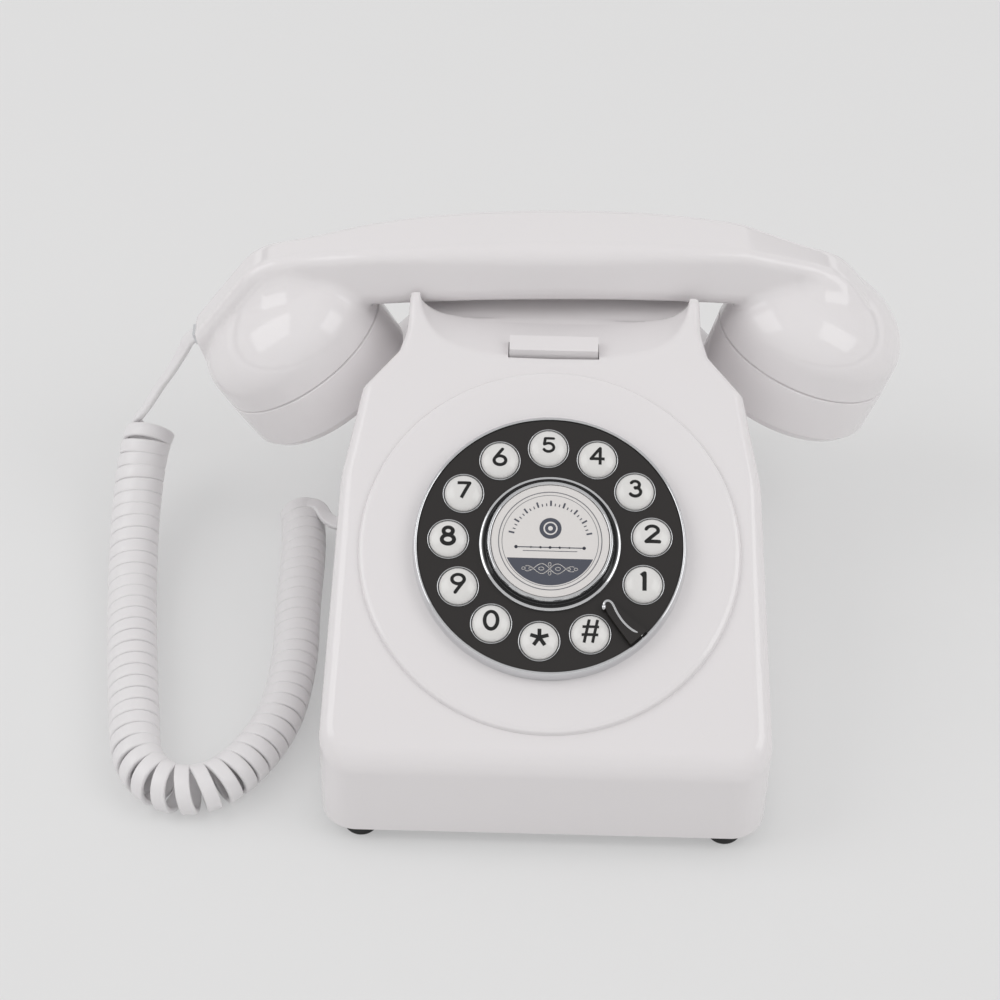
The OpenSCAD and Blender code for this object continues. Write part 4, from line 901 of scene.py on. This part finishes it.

# Each cap's hole marks lie on circles, given by radius and count. Nothing is bored: each mark is a black disc
# on the cap, painted shade for the dark inside of a hole.
for side, name, hole_circles in ((-1, "mouthpiece", [(0, 1), (5, 6)]),
                                 (1, "earpiece", [(0, 1), (5, 6), (10, 10)])):
    low = -CAP_H - BEVEL_H
    profile = rounded([[0, low + 0.9], [12, low + 0.3], [BELL_R - 2.6, low - 0.5],
                       [BELL_R - 0.45, -CAP_H + 0.2], [BELL_R + 0.12, -0.5], [BELL_R - 0.75, -0.02],
                       [BELL_R - 1.2, -0.1], [BELL_R - 1.2, 0.5], [0, 0.5]],
                      [20, 1.0, 0.8, 0.3, 0.25, 0.1, 0.1])
    v, f = lathe(profile, 160)
    add_piece(name + "_cup", moved(v, bell_frame(side)), f, WHITE, "handset",
              [name + "_cap"], sharp=40)
    hole_shade_discs = []
    for ring_r, count in hole_circles:
        for k in range(count):
            a = 2 * math.pi * k / count
            spot = annulus(ring_r * math.cos(a), ring_r * math.sin(a), 0.0, 1.1, 20)
            r = np.hypot(spot[0][:, 0], spot[0][:, 1])
            drop = np.interp(r, profile[:30, 0], profile[:30, 1]) - 0.03
            hole_shade_discs.append((np.column_stack([spot[0], drop]), [face[::-1] for face in spot[1]]))
    v, f = gathered(hole_shade_discs)
    add_piece(name + "_hole_shade", moved(v, bell_frame(side)), f, BLACK_PART_AND_HOLE_SHADE, "handset")

# ---------------------------------------------------------------- feet and finger stop
FOOT_R, FRONT_FOOT_AHEAD = 5.5, 1.5
low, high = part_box("rubber_feet")
foot = rounded([[0, 0.5], [3.6, 0.5], [3.9, 0], [5.1, 0], [5.6, 1.0], [5.75, HOUSE_Z], [0, HOUSE_Z]],
               [0.2, 0.15, 0.5, 0.8, 0.1])
feet = []
for fx in (low[0] / MM + FOOT_R, high[0] / MM - FOOT_R):
    for fy in (low[1] / MM + FOOT_R - FRONT_FOOT_AHEAD, high[1] / MM - FOOT_R):
        v, f = lathe(foot, 48)
        feet.append((v + [fx, fy, 0], f))
v, f = gathered(feet)
add_piece("feet_pads", v, f, RUBBER, "base", ["rubber_feet"], sharp=40)

# Bright edge of the finger stop, across the dial and above its plate: a wire with a bead near its tip.
WIRE_R, BEAD_R = 0.42, 0.8
STOP_EDGE = [(17.05, -20.9, 1.75), (17.0, -19.9, 1.9), (17.5, -18.9, 2.0), (18.6, -18.7, 2.0),
             (19.7, -19.7, 2.0), (21.2, -22.6, 2.0), (23.0, -25.3, 2.0), (25.6, -27.7, 1.9),
             (29.0, -29.35, 1.3)]
line = spline([(x, y, PLATE_H + z) for x, y, z in STOP_EDGE], 6)
section = [(WIRE_R * math.cos(a), WIRE_R * math.sin(a)) for a in np.arange(12) * math.pi / 6]
wire = swept(line, np.tile([0, 0, 1.0], (len(line), 1)), section)
ball = [[BEAD_R * math.sin(a), -BEAD_R * math.cos(a)] for a in np.linspace(0, math.pi, 13)]
bead = lathe(ball, 24)
v, f = gathered([wire, (bead[0] * [0.9, 1.25, 0.9] + line[2], bead[1])])
add_piece("finger_stop_edge", moved(v, ON_DIAL), f, CHROME, "base", sharp=60)

# ---------------------------------------------------------------- stage
FLOOR_SEEN, FLOOR_PALE = 0.45, 0.735


def make_floor():
    """A pale floor. Seen by the camera or in metal or glass, part of it is an even shade."""
    mesh = bpy.data.meshes.new("floor")
    mesh.from_pydata([(-6, -4, 0), (6, -4, 0), (6, 8, 0), (-6, 8, 0)], [], [(0, 1, 2, 3)])
    floor = bpy.data.objects.new("floor", mesh)
    bpy.context.scene.collection.objects.link(floor)
    cloth = material("floor_cloth", "E9E9E9", 0.7, mottle=0.02)
    mesh.materials.append(cloth)
    nodes, links = cloth.node_tree.nodes, cloth.node_tree.links
    path, share, pale, mix = (nodes.new("ShaderNode" + kind) for kind in (
        "LightPath", "Math", "Emission", "MixShader"))
    seen = path.outputs["Is Camera Ray"]
    for kind in ("Is Glossy Ray", "Is Transmission Ray"):
        either_one = nodes.new("ShaderNodeMath")
        either_one.operation = "MAXIMUM"
        links.new(seen, either_one.inputs[0])
        links.new(path.outputs[kind], either_one.inputs[1])
        seen = either_one.outputs[0]
    share.operation = "MULTIPLY"
    links.new(seen, share.inputs[0])
    share.inputs[1].default_value = FLOOR_SEEN
    pale.inputs["Color"].default_value = (FLOOR_PALE, FLOOR_PALE, FLOOR_PALE, 1)
    end = next(n for n in nodes if n.type == "OUTPUT_MATERIAL")
    links.new(share.outputs[0], mix.inputs[0])
    links.new(end.inputs["Surface"].links[0].from_socket, mix.inputs[1])
    links.new(pale.outputs[0], mix.inputs[2])
    links.new(mix.outputs[0], end.inputs["Surface"])


def area_light(name, at, target, size, watts):
    data = bpy.data.lights.new(name, "AREA")
    data.shape = "RECTANGLE"
    data.size, data.size_y = size
    data.energy = watts
    lamp = bpy.data.objects.new(name, data)
    bpy.context.scene.collection.objects.link(lamp)
    lamp.location = at
    lamp.rotation_mode = "QUATERNION"
    lamp.rotation_quaternion = (Vector(target) - Vector(at)).to_track_quat("-Z", "Y")


# The room's light by height, 0 straight down and 1 straight up. Bright metal shows its one dark band.
ROOM = ((0.0, 1.15), (0.11, 1.0), (0.13, 0.04), (0.2, 0.04), (0.23, 0.9), (0.45, 0.68), (1.0, 0.64))
ROOM_TINT = (1, 0.992, 0.99)


def make_world():
    world = bpy.data.worlds.new("world")
    bpy.context.scene.world = world
    world.use_nodes = True
    nodes, links = world.node_tree.nodes, world.node_tree.links
    where, split, ramp = (nodes.new("ShaderNode" + kind) for kind in ("TexCoord", "SeparateXYZ", "ValToRGB"))
    links.new(where.outputs["Generated"], split.inputs["Vector"])
    links.new(split.outputs["Z"], ramp.inputs["Fac"])
    links.new(ramp.outputs["Color"], nodes["Background"].inputs["Color"])
    while len(ramp.color_ramp.elements) < len(ROOM):
        ramp.color_ramp.elements.new(0.5)
    for element, (height, light) in zip(ramp.color_ramp.elements, ROOM):
        element.position, element.color = height, (*(light * tint for tint in ROOM_TINT), 1)
    nodes["Background"].inputs["Strength"].default_value = 1.0


make_floor()
area_light("softbox_left", (-1.32, -0.14, 1.42), (0, 0, 0.05), (1.1, 1.3), 7.9)
area_light("softbox_right", (1.25, -0.3, 1.5), (0, 0, 0.05), (0.95, 1.2), 6.8)
make_world()
bpy.context.scene.view_settings.view_transform = "Standard"
